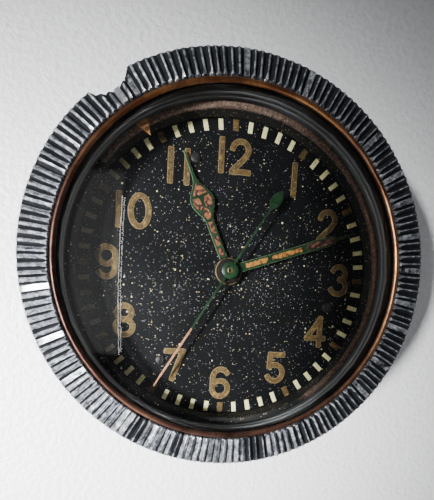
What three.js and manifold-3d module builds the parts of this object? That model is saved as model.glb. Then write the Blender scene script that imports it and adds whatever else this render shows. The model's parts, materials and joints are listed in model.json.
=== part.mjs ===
// A ship's deck clock, lying on its mounting face: +Z leaves the dial, 12 o'clock is +Y, millimetres.
// The fluted bezel turns on the case and winds the barrel through a ring gear inside it.
import * as THREE from "three";
import { mergeVertices } from "three/addons/utils/BufferGeometryUtils.js";
import Module from "manifold-3d";

const wasm = await Module();
wasm.setup();

// ---- Driving dimensions ----

const BEZEL_R = 33;
const FLUTES = 170; // V flutes on the sloping front of the bezel
const SCALLOP_DEPTH = 0.35; // one coarse scallop for every two flutes
const FLUTE_DEPTH = 0.5;
const NOTCH = { clock: 321.5, r: 3.9, centreR: 34.3 }; // lets a screwdriver reach a flange screw

const DIAL_Z = 24; // top face of the dial above the mounting face
const DIAL_R = 26.3;
const DIAL_THICK = 0.8;
const PLATE_R = 28.6;
const PLATE_TOP = DIAL_Z - 4.2;
const PLATE_BOTTOM = DIAL_Z - 6.4;
const BRIDGE_TOP = DIAL_Z - 13.8;
const BRIDGE_BOTTOM = DIAL_Z - 15.8;
const RATCHET_BOTTOM = DIAL_Z - 17.2;
const RATCHET_TOP = DIAL_Z - 16.2;

const FLANGE_R = 37;
const FLANGE_THICK = 3;
const FLANGE_HOLES = { count: 3, circleR: 33.3, r: 2.1, firstDeg: 30 };
const DRUM_R = 28.5;
const NECK_R = 29.6; // the tube that the bezel turns on
const NECK_BORE_R = 28.9;
const CASE_BORE_R = 24.9;
const COVER_R = 25.6;

const INNER_WALL_R = 26.9; // inside of the bezel, between the crystal and the index ring
const SEAT_Z = DIAL_Z + 6;
const RECESS_R = 27.8; // the seat that holds the crystal and its ring

const HOUR_CLOCK = 335.9; // hands set at eleven twelve and thirty-five seconds
const MINUTE_CLOCK = 70;
const SECOND_CLOCK = 210.7;
const MARKER_CLOCK = 324.9;
const DIAL_SCREWS = { circleR: 19.8, clocks: [105.35, 214.6, 340.4] };

const ARBOR_R = 0.45;
const PIVOT_HOLE_R = 0.55;
const RUN_GAP = 0.3;

// Tooth heights in modules. Points are fine enough for these small wheels.
const ADDENDUM = 0.8;
const DEDENDUM = 1.2;

const GEAR = {
  bezel: { teeth: 72, module: 0.75 },
  winding: { teeth: 18, module: 0.75 },
  lower: { teeth: 10, module: 0.561 },
  ratchet: { teeth: 30, module: 0.561 },
  barrel: { teeth: 60, module: 0.3286 },
  centrePinion: { teeth: 10, module: 0.3286 },
  centre: { teeth: 48, module: 0.4148 },
  thirdPinion: { teeth: 6, module: 0.4148 },
  third: { teeth: 45, module: 0.4392 },
  fourthPinion: { teeth: 6, module: 0.4392 },
  fourth: { teeth: 60, module: 0.3333 },
  escapePinion: { teeth: 6, module: 0.3333 },
  cannon: { teeth: 10, module: 0.33 },
  minute: { teeth: 30, module: 0.33 },
  minutePinion: { teeth: 8, module: 0.33 },
  hour: { teeth: 32, module: 0.33 },
};

// Where each arbor stands: distance from the centre and its bearing from +X.
const ARBOR_DEG = { winding: 52, barrel: 78.6, third: -10, escape: 250, minute: 250 };
const PALLET_AT = [-8.1, -11.9];
const BALANCE_AT = [-14.2, -10.8];
const BUTTON_DEG = -60;

const ROUND = 32; // facets round the large turned pieces

// ---- Small helpers ----

const rad = THREE.MathUtils.degToRad;
const fromClock = (clock) => 90 - clock;
const polar = (r, deg) => [r * Math.cos(rad(deg)), r * Math.sin(rad(deg))];
const pitchR = (gear) => (gear.teeth * gear.module) / 2;
const bearing = (from, to) => THREE.MathUtils.radToDeg(Math.atan2(to[1] - from[1], to[0] - from[0]));
const distance = (a, b) => Math.hypot(a[0] - b[0], a[1] - b[1]);

function weld(geometry) {
  const bare = geometry.clone();
  bare.deleteAttribute("normal");
  bare.deleteAttribute("uv");
  return mergeVertices(bare, 1e-4);
}

// A closed three.js geometry as a solid, turned to face outwards.
function solid(geometry) {
  const merged = weld(geometry);
  const index = merged.index.array;
  const kept = [];
  for (let i = 0; i < index.length; i += 3) {
    const [a, b, c] = [index[i], index[i + 1], index[i + 2]];
    if (a !== b && b !== c && c !== a) kept.push(a, b, c);
  }
  const build = (triangles) =>
    new wasm.Manifold(
      new wasm.Mesh({
        numProp: 3,
        vertProperties: new Float32Array(merged.attributes.position.array),
        triVerts: new Uint32Array(triangles),
      }),
    );
  const made = build(kept);
  return made.volume() < 0 ? build(kept.reverse()) : made;
}

function geometryOf(made) {
  const mesh = made.getMesh();
  const geometry = new THREE.BufferGeometry();
  geometry.setAttribute("position", new THREE.BufferAttribute(mesh.vertProperties, 3));
  geometry.setIndex(new THREE.BufferAttribute(mesh.triVerts, 1));
  return geometry;
}

const join = (...solids) => solids.reduce((sum, next) => sum.add(next));
const cut = (body, ...tools) => tools.reduce((left, tool) => left.subtract(tool), body);

// Turns a closed profile of [radius, z] points round the Z axis.
function lathe(profile, segments = ROUND) {
  const points = profile.map(([r, z]) => new THREE.Vector2(r, z));
  const onAxis = profile[0][0] === 0 && profile.at(-1)[0] === 0;
  if (!onAxis) points.push(points[0].clone());
  const geometry = new THREE.LatheGeometry(points, segments);
  geometry.rotateX(Math.PI / 2);
  return solid(geometry);
}

function prism(shape, z0, z1, curveSegments = 3) {
  const geometry = new THREE.ExtrudeGeometry(shape, { depth: z1 - z0, bevelEnabled: false, curveSegments });
  geometry.translate(0, 0, z0);
  return solid(geometry);
}

function cylinder(r, z0, z1, [x, y] = [0, 0], segments = 10) {
  const geometry = new THREE.CylinderGeometry(r, r, z1 - z0, segments);
  geometry.rotateX(Math.PI / 2);
  geometry.translate(x, y, (z0 + z1) / 2);
  return solid(geometry);
}

const ring = (innerR, outerR, z0, z1, segments = ROUND) =>
  lathe(
    [
      [innerR, z0],
      [outerR, z0],
      [outerR, z1],
      [innerR, z1],
    ],
    segments,
  );

// A flat bar with round ends between two points.
function bar(from, to, width, z0, z1) {
  const half = width / 2;
  const length = distance(from, to);
  const shape = new THREE.Shape();
  shape.moveTo(0, -half);
  shape.lineTo(length, -half);
  shape.absarc(length, 0, half, -Math.PI / 2, Math.PI / 2, false);
  shape.lineTo(0, half);
  shape.absarc(0, 0, half, Math.PI / 2, (3 * Math.PI) / 2, false);
  const geometry = new THREE.ExtrudeGeometry(shape, {
    depth: z1 - z0,
    bevelEnabled: false,
    curveSegments: 3,
  });
  geometry.rotateZ(Math.atan2(to[1] - from[1], to[0] - from[0]));
  geometry.translate(from[0], from[1], z0);
  return solid(geometry);
}

const outlineShape = (points) => new THREE.Shape(points.map(([x, y]) => new THREE.Vector2(x, y)));

// Tooth points of a gear, with one tip on the bearing `phase`. An inner gear's tips point to the axis.
function toothPoints({ teeth, module }, phase, inner = false) {
  const side = inner ? -1 : 1;
  const r = (teeth * module) / 2;
  const points = [];
  for (let k = 0; k < teeth; k++) {
    points.push(polar(r + side * ADDENDUM * module, phase + (360 * k) / teeth));
    points.push(polar(r - side * DEDENDUM * module, phase + (360 * (k + 0.5)) / teeth));
  }
  return points;
}

// The bearing of a pinion's tip that puts one of its gaps on the bearing `towards`.
const gapTowards = (pinion, towards) => towards + 180 / pinion.teeth;

function windowPath(innerR, outerR, startDeg, endDeg) {
  const path = new THREE.Path();
  path.absarc(0, 0, outerR, rad(startDeg), rad(endDeg), false);
  path.absarc(0, 0, innerR, rad(endDeg), rad(startDeg), true);
  path.closePath();
  return path;
}

// A toothed wheel with windows between its spokes.
function wheel(gear, phase, z0, z1, { spokes = 0, hubR = 1.6 } = {}) {
  const shape = outlineShape(toothPoints(gear, phase));
  const rimR = pitchR(gear) - DEDENDUM * gear.module - 1;
  const gapDeg = 360 / (spokes || 1);
  for (let k = 0; k < spokes; k++)
    shape.holes.push(windowPath(hubR, rimR, k * gapDeg + 9, (k + 1) * gapDeg - 9));
  return prism(shape, z0, z1, 2);
}

// A slotted screw standing on its tip, with its head's top at z = 0.
function screwSolid({ headR, headH, shankR, length, slot = 0.35 }) {
  const slotCut = new THREE.BoxGeometry(headR * 3, slot, headH);
  const head = cylinder(headR, -headH, 0);
  const shank = cylinder(shankR, -length, -headH * 0.75, [0, 0], 8);
  return cut(join(head, shank), solid(slotCut));
}

// ---- The assembly ----

const clock = new THREE.Group();

function finish(color, metalness, roughness) {
  return new THREE.MeshStandardMaterial({ color, metalness, roughness, flatShading: true });
}

const LOOK = {
  black: () => finish(0x17191b, 0.2, 0.55),
  wornSteel: () => finish(0x5d6166, 0.9, 0.4),
  copper: () => finish(0x7a4029, 0.9, 0.3),
  glass: () => new THREE.MeshStandardMaterial({ color: 0xdfe8ea, transparent: true, opacity: 0.3, roughness: 0.05 }),
  dial: () => finish(0x121319, 0.1, 0.8),
  green: () => finish(0x2c6a41, 0.3, 0.45),
  orange: () => finish(0xb87f45, 0, 0.7),
  brass: () => finish(0xb8954a, 0.9, 0.35),
  steel: () => finish(0x9aa0a6, 1, 0.3),
  blued: () => finish(0x27406e, 1, 0.25),
  rubber: () => finish(0x1c1c1c, 0, 0.9),
};

function add(name, made, look, at = [0, 0, 0], turn = [0, 0, 0], parent = clock) {
  const mesh = new THREE.Mesh(geometryOf(made), LOOK[look]());
  mesh.name = name;
  mesh.position.set(...at);
  mesh.rotation.set(...turn);
  parent.add(mesh);
  return mesh;
}

const at2 = ([x, y], z = 0) => [x, y, z];

const CENTRE = [0, 0];
const THIRD_AT = polar(pitchR(GEAR.centre) + pitchR(GEAR.thirdPinion), ARBOR_DEG.third);
const ESCAPE_AT = polar(pitchR(GEAR.fourth) + pitchR(GEAR.escapePinion), ARBOR_DEG.escape);
const BARREL_AT = polar(pitchR(GEAR.barrel) + pitchR(GEAR.centrePinion), ARBOR_DEG.barrel);
const WINDING_AT = polar(pitchR(GEAR.bezel) - pitchR(GEAR.winding), ARBOR_DEG.winding);
const MINUTE_AT = polar(pitchR(GEAR.cannon) + pitchR(GEAR.minute), ARBOR_DEG.minute);
const DIAL_SCREWS_AT = DIAL_SCREWS.clocks.map((c) => polar(DIAL_SCREWS.circleR, fromClock(c)));

const TRAIN_POSTS = [
  [18.4, -12.5],
  [3, -21],
];
const BARREL_POSTS = [
  [-11.5, 18.5],
  [19, 12],
];
const BALANCE_POST = [-20.4, -1.8];
const PALLET_POST = [-6.5, -19.5];
const LEVER_PIVOT = polar(20, BUTTON_DEG + 12);
const LEVER_END = polar(20.6, BUTTON_DEG - 1.5);
const CLICK_PIVOT = [-7.9, 16.6];
const MOVEMENT_SCREWS = { circleR: 26.9, degs: [20, 140, 265] };
const COVER_SCREWS = { circleR: 24, degs: [60, 180, 300] };
const POST_R = 1.8;

// ---- Case ----

const COVER_SEAT_Z = 3;
// Holds the bezel on the neck.
const WIRE = { innerR: 29.4, outerR: 30.2, z0: DIAL_Z - 3.3, z1: DIAL_Z - 2.5 };
const MOVEMENT_SCREW = { headR: 1.2, headH: 0.6, shankR: 0.6, length: 4.6 };
const COVER_SCREW = { headR: 1.3, headH: 0.7, shankR: 0.6, length: 4 };
const COVER_TOP = 2.6;
const COVER_BOTTOM = 0.6;

function caseBody() {
  const shell = lathe([
    [FLANGE_R, 0],
    [FLANGE_R, FLANGE_THICK - 0.5],
    [FLANGE_R - 0.5, FLANGE_THICK],
    [DRUM_R, FLANGE_THICK],
    [DRUM_R, PLATE_BOTTOM - 3.2],
    [NECK_R, PLATE_BOTTOM - 1.6],
    [NECK_R, WIRE.z0 - 0.2],
    [WIRE.innerR - 0.1, WIRE.z0 - 0.2],
    [WIRE.innerR - 0.1, WIRE.z1 + 0.2],
    [NECK_R, WIRE.z1 + 0.2],
    [NECK_R, DIAL_Z + 1.5],
    [NECK_BORE_R, DIAL_Z + 1.5],
    [NECK_BORE_R, PLATE_BOTTOM - 0.2],
    [CASE_BORE_R, PLATE_BOTTOM - 0.2],
    [CASE_BORE_R, 6],
    [22.4, 5.2],
    [22.4, COVER_SEAT_Z],
    [26, COVER_SEAT_Z],
    [26, 0],
  ]);
  const holes = [];
  for (let k = 0; k < FLANGE_HOLES.count; k++) {
    const deg = FLANGE_HOLES.firstDeg + (360 * k) / FLANGE_HOLES.count;
    holes.push(cylinder(FLANGE_HOLES.r, -1, FLANGE_THICK + 1, polar(FLANGE_HOLES.circleR, deg), 16));
  }
  for (const deg of MOVEMENT_SCREWS.degs)
    holes.push(cylinder(0.75, PLATE_BOTTOM - 4.2, PLATE_BOTTOM, polar(MOVEMENT_SCREWS.circleR, deg), 8));
  for (const deg of COVER_SCREWS.degs)
    holes.push(cylinder(0.75, 1, 6.4, polar(COVER_SCREWS.circleR, deg), 8));
  return cut(shell, ...holes, buttonTube(BUTTON.stemR + 0.1, 20, 32));
}

const BUTTON = { z: PLATE_BOTTOM - 5.2, stemR: 0.9, headR: 1.7, restR: 31.4, travel: 1.5 };

// A round bar along the button's axis, from one distance from the centre to another.
function buttonTube(r, from, to, segments = 12) {
  const geometry = new THREE.CylinderGeometry(r, r, to - from, segments);
  geometry.rotateZ(-Math.PI / 2);
  geometry.translate((from + to) / 2, 0, 0);
  geometry.rotateZ(rad(BUTTON_DEG));
  geometry.translate(0, 0, BUTTON.z);
  return solid(geometry);
}

add("case_body", caseBody(), "black");

function backCover() {
  const slots = COVER_SCREWS.degs.flatMap((deg) => [
    cylinder(0.8, 0, COVER_TOP + 1, polar(COVER_SCREWS.circleR, deg), 8),
    cylinder(1.55, 0, COVER_BOTTOM + 0.85, polar(COVER_SCREWS.circleR, deg)),
  ]);
  return cut(cylinder(COVER_R, COVER_BOTTOM, COVER_TOP, CENTRE, ROUND), ...slots);
}

add("back_cover", backCover(), "black");

function backGasket() {
  const holes = COVER_SCREWS.degs.map((deg) => cylinder(0.8, 2, 4, polar(COVER_SCREWS.circleR, deg), 8));
  return cut(ring(22.6, COVER_R, COVER_TOP + 0.08, COVER_SEAT_Z - 0.08), ...holes);
}

add("back_gasket", backGasket(), "rubber");
COVER_SCREWS.degs.forEach((deg, k) =>
  add(
    `cover_screw_${k + 1}`,
    screwSolid(COVER_SCREW),
    "steel",
    at2(polar(COVER_SCREWS.circleR, deg), COVER_BOTTOM),
    [Math.PI, 0, 0],
  ),
);

// ---- Main plate and bridges ----

const SCREW_HEAD = { r: 1.15, h: 0.6 };
const BRIDGE_SCREW = { headR: SCREW_HEAD.r, headH: SCREW_HEAD.h, shankR: 0.55, length: 3 };
const DIAL_SCREW = { headR: 0.85, headH: 0.45, shankR: 0.5, length: 3 };

function mainPlate() {
  const plate = cylinder(PLATE_R, PLATE_BOTTOM, PLATE_TOP, CENTRE, ROUND);
  const posts = DIAL_SCREWS_AT.map((p) => cylinder(1.5, PLATE_TOP - 0.1, DIAL_Z - DIAL_THICK - 0.1, p));
  const screwWells = DIAL_SCREWS_AT.map((p) => cylinder(0.6, DIAL_Z - 3.6, DIAL_Z, p, 8));
  const mounting = MOVEMENT_SCREWS.degs.flatMap((deg) => [
    cylinder(0.75, PLATE_BOTTOM - 1, PLATE_TOP + 1, polar(MOVEMENT_SCREWS.circleR, deg), 8),
    cylinder(1.4, PLATE_TOP - 0.7, PLATE_TOP + 1, polar(MOVEMENT_SCREWS.circleR, deg)),
  ]);
  const pivots = [THIRD_AT, ESCAPE_AT, PALLET_AT, BALANCE_AT].map((p) =>
    cylinder(PIVOT_HOLE_R, PLATE_BOTTOM - 1, PLATE_TOP + 1, p),
  );
  const wide = [
    cylinder(1.25, PLATE_BOTTOM - 1, PLATE_TOP + 1, CENTRE),
    cylinder(0.95, PLATE_BOTTOM - 1, PLATE_TOP + 1, BARREL_AT),
    cylinder(0.85, PLATE_BOTTOM - 1, PLATE_TOP + 1, WINDING_AT),
    cylinder(0.75, PLATE_BOTTOM - 1, PLATE_TOP + 1, LEVER_PIVOT),
  ];
  const stud = cylinder(0.45, PLATE_TOP - 0.1, PLATE_TOP + 2.1, MINUTE_AT, 8);
  return cut(join(plate, ...posts, stud), ...screwWells, ...mounting, ...pivots, ...wide);
}

add("main_plate", mainPlate(), "brass");

// A bridge: bars along a chain of points, feet down to the main plate at its ends, and pivot holes.
function bridge({ chain, feet, holes, z0, z1, width = 4.4 }) {
  const bars = chain.slice(1).map((p, k) => bar(chain[k], p, width, z0, z1));
  const legs = feet.map((p) => cylinder(POST_R, z1 - 0.1, PLATE_BOTTOM - 0.05, p));
  const screwHoles = feet.flatMap((p) => [
    cylinder(0.7, z0 - 1, z0 + 3.2, p, 8),
    cylinder(1.35, z0 - 1, z0 + SCREW_HEAD.h + 0.1, p),
  ]);
  const pivots = holes.map(([p, r]) => cylinder(r, z0 - 1, z1 + 1, p));
  return cut(join(...bars, ...legs), ...screwHoles, ...pivots);
}

add(
  "train_bridge",
  bridge({
    chain: [TRAIN_POSTS[0], THIRD_AT, CENTRE, ESCAPE_AT, TRAIN_POSTS[1]],
    feet: TRAIN_POSTS,
    holes: [
      [THIRD_AT, PIVOT_HOLE_R],
      [CENTRE, PIVOT_HOLE_R],
      [ESCAPE_AT, PIVOT_HOLE_R],
    ],
    z0: BRIDGE_BOTTOM,
    z1: BRIDGE_TOP,
  }),
  "brass",
);

add(
  "barrel_bridge",
  bridge({
    chain: [BARREL_POSTS[0], BARREL_AT, WINDING_AT, BARREL_POSTS[1]],
    feet: BARREL_POSTS,
    holes: [
      [BARREL_AT, 0.95],
      [WINDING_AT, 0.8],
      [CLICK_PIVOT, 0.6],
    ],
    z0: BRIDGE_BOTTOM,
    z1: BRIDGE_TOP,
  }),
  "brass",
);

const COCK = { z0: DIAL_Z - 14.4, z1: DIAL_Z - 13 };
add(
  "balance_cock",
  bridge({
    chain: [BALANCE_POST, BALANCE_AT],
    feet: [BALANCE_POST],
    holes: [[BALANCE_AT, PIVOT_HOLE_R]],
    z0: COCK.z0,
    z1: COCK.z1,
  }),
  "brass",
);

const PALLET_COCK = { z0: DIAL_Z - 9.95, z1: DIAL_Z - 9.15 };
add(
  "pallet_cock",
  bridge({
    chain: [PALLET_POST, PALLET_AT],
    feet: [PALLET_POST],
    holes: [[PALLET_AT, PIVOT_HOLE_R]],
    z0: PALLET_COCK.z0,
    z1: PALLET_COCK.z1,
    width: 2.6,
  }),
  "brass",
);

const BRIDGE_SCREWS = [
  ["train_bridge_screw_1", TRAIN_POSTS[0], BRIDGE_BOTTOM],
  ["train_bridge_screw_2", TRAIN_POSTS[1], BRIDGE_BOTTOM],
  ["barrel_bridge_screw_1", BARREL_POSTS[0], BRIDGE_BOTTOM],
  ["barrel_bridge_screw_2", BARREL_POSTS[1], BRIDGE_BOTTOM],
  ["balance_cock_screw", BALANCE_POST, COCK.z0],
  ["pallet_cock_screw", PALLET_POST, PALLET_COCK.z0],
];
for (const [name, p, z] of BRIDGE_SCREWS)
  add(name, screwSolid(BRIDGE_SCREW), "blued", at2(p, z), [Math.PI, 0, 0]);

MOVEMENT_SCREWS.degs.forEach((deg, k) =>
  add(
    `movement_screw_${k + 1}`,
    screwSolid(MOVEMENT_SCREW),
    "steel",
    at2(polar(MOVEMENT_SCREWS.circleR, deg), PLATE_TOP - 0.05),
  ),
);

// ---- Going train ----

const LEVEL = {
  barrel: [DIAL_Z - 9.6, DIAL_Z - 6.9],
  barrelTeeth: [DIAL_Z - 7.9, DIAL_Z - 6.9],
  centrePinion: [DIAL_Z - 8.1, DIAL_Z - 6.7],
  centre: [DIAL_Z - 10.7, DIAL_Z - 10.2],
  thirdPinion: [DIAL_Z - 10.95, DIAL_Z - 9.9],
  third: [DIAL_Z - 12, DIAL_Z - 11.5],
  fourthPinion: [DIAL_Z - 12.25, DIAL_Z - 11.25],
  fourth: [DIAL_Z - 13.3, DIAL_Z - 12.8],
  escapePinion: [DIAL_Z - 13.5, DIAL_Z - 12.5],
  escape: [DIAL_Z - 8.9, DIAL_Z - 8.4],
  balance: [DIAL_Z - 11.5, DIAL_Z - 10.7],
};
const ARBOR_TOP = PLATE_TOP - 0.4;
const CENTRE_TUBE_R = 1.05; // the centre arbor is a tube round the seconds arbor
const CENTRE_TUBE_BORE = 0.6;
const CENTRE_TUBE_TOP = DIAL_Z + 1.2;

function centreWheel() {
  const towardsBarrel = bearing(CENTRE, BARREL_AT);
  const disc = wheel(GEAR.centre, ARBOR_DEG.third, ...LEVEL.centre, { spokes: 3, hubR: 2 });
  const turn = gapTowards(GEAR.centrePinion, towardsBarrel);
  const pinion = wheel(GEAR.centrePinion, turn, ...LEVEL.centrePinion);
  const tube = cylinder(CENTRE_TUBE_R, LEVEL.centre[0], CENTRE_TUBE_TOP);
  const bore = cylinder(CENTRE_TUBE_BORE, LEVEL.centre[0] - 1, CENTRE_TUBE_TOP + 1);
  return cut(join(disc, pinion, tube), bore);
}

add("centre_wheel", centreWheel(), "brass");

const THIRD_BACK = bearing(THIRD_AT, CENTRE);
add(
  "third_wheel",
  join(
    wheel(GEAR.third, THIRD_BACK, ...LEVEL.third, { spokes: 3 }),
    wheel(GEAR.thirdPinion, gapTowards(GEAR.thirdPinion, THIRD_BACK), ...LEVEL.thirdPinion),
    cylinder(ARBOR_R, BRIDGE_BOTTOM + 0.4, ARBOR_TOP),
  ),
  "brass",
  at2(THIRD_AT),
);

const SECOND_HAND_Z = [DIAL_Z + 2.9, DIAL_Z + 3.1];
add(
  "fourth_wheel",
  join(
    wheel(GEAR.fourth, ARBOR_DEG.escape, ...LEVEL.fourth, { spokes: 3 }),
    wheel(GEAR.fourthPinion, gapTowards(GEAR.fourthPinion, ARBOR_DEG.third), ...LEVEL.fourthPinion),
    cylinder(ARBOR_R, BRIDGE_BOTTOM + 0.4, SECOND_HAND_Z[0] - 0.35),
  ),
  "brass",
);

const ESCAPE = { teeth: 15, tipR: 3.05, rootR: 2.1 };
const ESCAPE_BACK = bearing(ESCAPE_AT, CENTRE);

function escapeWheel() {
  const step = 360 / ESCAPE.teeth;
  const points = [];
  for (let k = 0; k < ESCAPE.teeth; k++) {
    points.push(polar(ESCAPE.tipR, k * step));
    points.push(polar(ESCAPE.rootR, k * step + step * 0.3));
    points.push(polar(ESCAPE.rootR, k * step + step * 0.75));
  }
  return join(
    prism(outlineShape(points), ...LEVEL.escape),
    wheel(GEAR.escapePinion, gapTowards(GEAR.escapePinion, ESCAPE_BACK), ...LEVEL.escapePinion),
    cylinder(ARBOR_R, BRIDGE_BOTTOM + 0.4, ARBOR_TOP),
  );
}

add("escape_wheel", escapeWheel(), "steel", at2(ESCAPE_AT));

// ---- Escapement ----

// A point given along the line from one place to another and to its left.
function along(from, to, ahead, left) {
  const length = distance(from, to);
  const u = [(to[0] - from[0]) / length, (to[1] - from[1]) / length];
  return [from[0] + u[0] * ahead - u[1] * left, from[1] + u[1] * ahead + u[0] * left];
}

function palletFork() {
  const [z0, z1] = LEVEL.escape;
  const pieces = [cylinder(ARBOR_R, PALLET_COCK.z0 + 0.2, ARBOR_TOP, PALLET_AT)];
  for (const side of [-1, 1]) {
    const stone = along(PALLET_AT, ESCAPE_AT, 1.4, 1.9 * side);
    pieces.push(bar(PALLET_AT, stone, 0.7, z0, z1));
    const crotch = along(PALLET_AT, BALANCE_AT, 4.1, 0);
    const horn = along(PALLET_AT, BALANCE_AT, 4.65, 0.45 * side);
    pieces.push(bar(crotch, horn, 0.4, z0, z1));
  }
  pieces.push(bar(PALLET_AT, along(PALLET_AT, BALANCE_AT, 4.1, 0), 0.7, z0, z1));
  return join(...pieces);
}

add("pallet_fork", palletFork(), "steel");

const BALANCE = { rimR: 6.3, rimWidth: 0.8, pinR: 0.2, pinAt: 1.1 };

function balanceWheel() {
  const [z0, z1] = LEVEL.balance;
  const rim = ring(BALANCE.rimR - BALANCE.rimWidth, BALANCE.rimR, z0, z1, 24);
  const spokeReach = BALANCE.rimR - BALANCE.rimWidth / 2;
  const spokes = [0, 90].map((deg) =>
    bar(polar(spokeReach, deg), polar(spokeReach, deg + 180), 0.7, z0 + 0.2, z1 - 0.2),
  );
  const toFork = bearing(BALANCE_AT, PALLET_AT);
  const rollerTop = LEVEL.escape[0] - 0.35;
  const roller = cylinder(1.5, rollerTop - 0.4, rollerTop);
  const pin = cylinder(BALANCE.pinR, rollerTop - 0.2, LEVEL.escape[1], polar(BALANCE.pinAt, toFork), 8);
  const staff = cylinder(ARBOR_R, COCK.z0 + 0.3, ARBOR_TOP);
  return join(rim, ...spokes, roller, pin, staff);
}

add("balance_wheel", balanceWheel(), "brass", at2(BALANCE_AT));

// A flat spiral ribbon between two radii.
function spiral({ innerR, outerR, turns, width, steps, z0, z1 }) {
  const edge = (k, offset) => {
    const t = k / (turns * steps);
    return polar(innerR + (outerR - innerR) * t + offset, (360 * k) / steps);
  };
  const points = [];
  for (let k = 0; k <= turns * steps; k++) points.push(edge(k, width / 2));
  for (let k = turns * steps; k >= 0; k--) points.push(edge(k, -width / 2));
  return prism(outlineShape(points), z0, z1);
}

const HAIRSPRING = {
  innerR: 0.9,
  outerR: 3.9,
  turns: 4,
  width: 0.2,
  steps: 12,
  z0: DIAL_Z - 12.5,
  z1: DIAL_Z - 12.1,
};
add("hairspring", spiral(HAIRSPRING), "blued", at2(BALANCE_AT));

function regulator() {
  const z1 = COCK.z0 - 0.08;
  const reach = bearing(BALANCE_AT, BALANCE_POST) + 115;
  const disc = cylinder(1.7, z1 - 0.5, z1);
  const pointer = bar([0, 0], polar(5.2, reach), 0.8, z1 - 0.5, z1);
  return cut(join(disc, pointer), cylinder(0.7, z1 - 1, z1 + 1));
}

add("regulator", regulator(), "steel", at2(BALANCE_AT));

// ---- Barrel and winding ----

const BARREL_WALL_R = pitchR(GEAR.barrel) - DEDENDUM * GEAR.barrel.module;
const BARREL_ARBOR_R = 0.85;

function barrel() {
  const [z0, z1] = LEVEL.barrel;
  const teeth = wheel(GEAR.barrel, bearing(BARREL_AT, CENTRE), ...LEVEL.barrelTeeth);
  const drum = cylinder(BARREL_WALL_R, z0, z1, CENTRE, 24);
  const hollow = cylinder(BARREL_WALL_R - 0.7, z0 - 1, z1 - 0.5, CENTRE, 24);
  const bore = cylinder(BARREL_ARBOR_R + 0.1, z0 - 1, z1 + 1);
  return cut(join(drum, teeth), hollow, bore);
}

add("barrel", barrel(), "brass", at2(BARREL_AT));
add(
  "barrel_cover",
  cut(
    cylinder(BARREL_WALL_R - 0.9, LEVEL.barrel[0] + 0.05, LEVEL.barrel[0] + 0.5, CENTRE, 24),
    cylinder(BARREL_ARBOR_R + 0.1, 0, DIAL_Z),
  ),
  "brass",
  at2(BARREL_AT),
);
add(
  "mainspring",
  spiral({
    innerR: 2.9,
    outerR: BARREL_WALL_R - 1.3,
    turns: 4,
    width: 0.5,
    steps: 12,
    z0: LEVEL.barrel[0] + 0.7,
    z1: LEVEL.barrel[1] - 0.7,
  }),
  "blued",
  at2(BARREL_AT),
);

const SQUARE = 1.0; // square on the arbor's end that carries the ratchet wheel
const squarePrism = (side, z0, z1) => {
  const geometry = new THREE.BoxGeometry(side, side, z1 - z0);
  geometry.translate(0, 0, (z0 + z1) / 2);
  return solid(geometry);
};

function barrelArbor() {
  const body = cylinder(BARREL_ARBOR_R, RATCHET_TOP + 0.1, ARBOR_TOP);
  const core = cylinder(2.2, LEVEL.barrel[0] + 0.7, LEVEL.barrel[1] - 0.7);
  const end = squarePrism(SQUARE, RATCHET_BOTTOM, RATCHET_TOP + 0.2);
  const screwHole = cylinder(0.4, 0, RATCHET_BOTTOM + 3, CENTRE, 8);
  return cut(join(body, core, end), screwHole);
}

add("barrel_arbor", barrelArbor(), "steel", at2(BARREL_AT));

const TO_WINDING = bearing(BARREL_AT, WINDING_AT);
add(
  "ratchet_wheel",
  cut(
    wheel(GEAR.ratchet, TO_WINDING, RATCHET_BOTTOM, RATCHET_TOP),
    squarePrism(SQUARE + 0.15, 0, DIAL_Z),
    cylinder(1.5, 0, RATCHET_BOTTOM + 0.2),
  ),
  "steel",
  at2(BARREL_AT),
);
add(
  "ratchet_screw",
  screwSolid({ headR: 1.3, headH: 0.5, shankR: 0.32, length: 2.4 }),
  "blued",
  at2(BARREL_AT, RATCHET_BOTTOM - 0.55),
  [Math.PI, 0, 0],
);

const WINDING_Z = [DIAL_Z - 3.5, DIAL_Z - 1.8];
add(
  "winding_pinion",
  join(
    wheel(GEAR.winding, gapTowards(GEAR.winding, ARBOR_DEG.winding), ...WINDING_Z),
    wheel(GEAR.lower, gapTowards(GEAR.lower, TO_WINDING + 180), RATCHET_BOTTOM, RATCHET_TOP),
    cylinder(0.7, RATCHET_BOTTOM, WINDING_Z[1]),
  ),
  "steel",
  at2(WINDING_AT),
);

const CLICK_TIP_DEG = bearing(BARREL_AT, CLICK_PIVOT) - 25;
const RATCHET_TIP_R = pitchR(GEAR.ratchet) + ADDENDUM * GEAR.ratchet.module;

const CLICK_TAIL = 2.4;
const CLICK_REACH = polar(RATCHET_TIP_R + 0.55, CLICK_TIP_DEG);
const CLICK_TIP = [BARREL_AT[0] + CLICK_REACH[0], BARREL_AT[1] + CLICK_REACH[1]];

function click() {
  const arm = bar(CLICK_PIVOT, CLICK_TIP, 0.9, RATCHET_BOTTOM + 0.1, RATCHET_TOP - 0.1);
  const tailEnd = along(CLICK_PIVOT, CLICK_TIP, -CLICK_TAIL, 0);
  const tail = bar(CLICK_PIVOT, tailEnd, 0.9, RATCHET_BOTTOM + 0.1, RATCHET_TOP - 0.1);
  const hub = cylinder(1.2, RATCHET_BOTTOM + 0.1, RATCHET_TOP - 0.1, CLICK_PIVOT);
  const pin = cylinder(0.5, RATCHET_BOTTOM + 0.2, BRIDGE_BOTTOM + 1.8, CLICK_PIVOT);
  return join(arm, tail, hub, pin);
}

add("click", click(), "steel");

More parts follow.
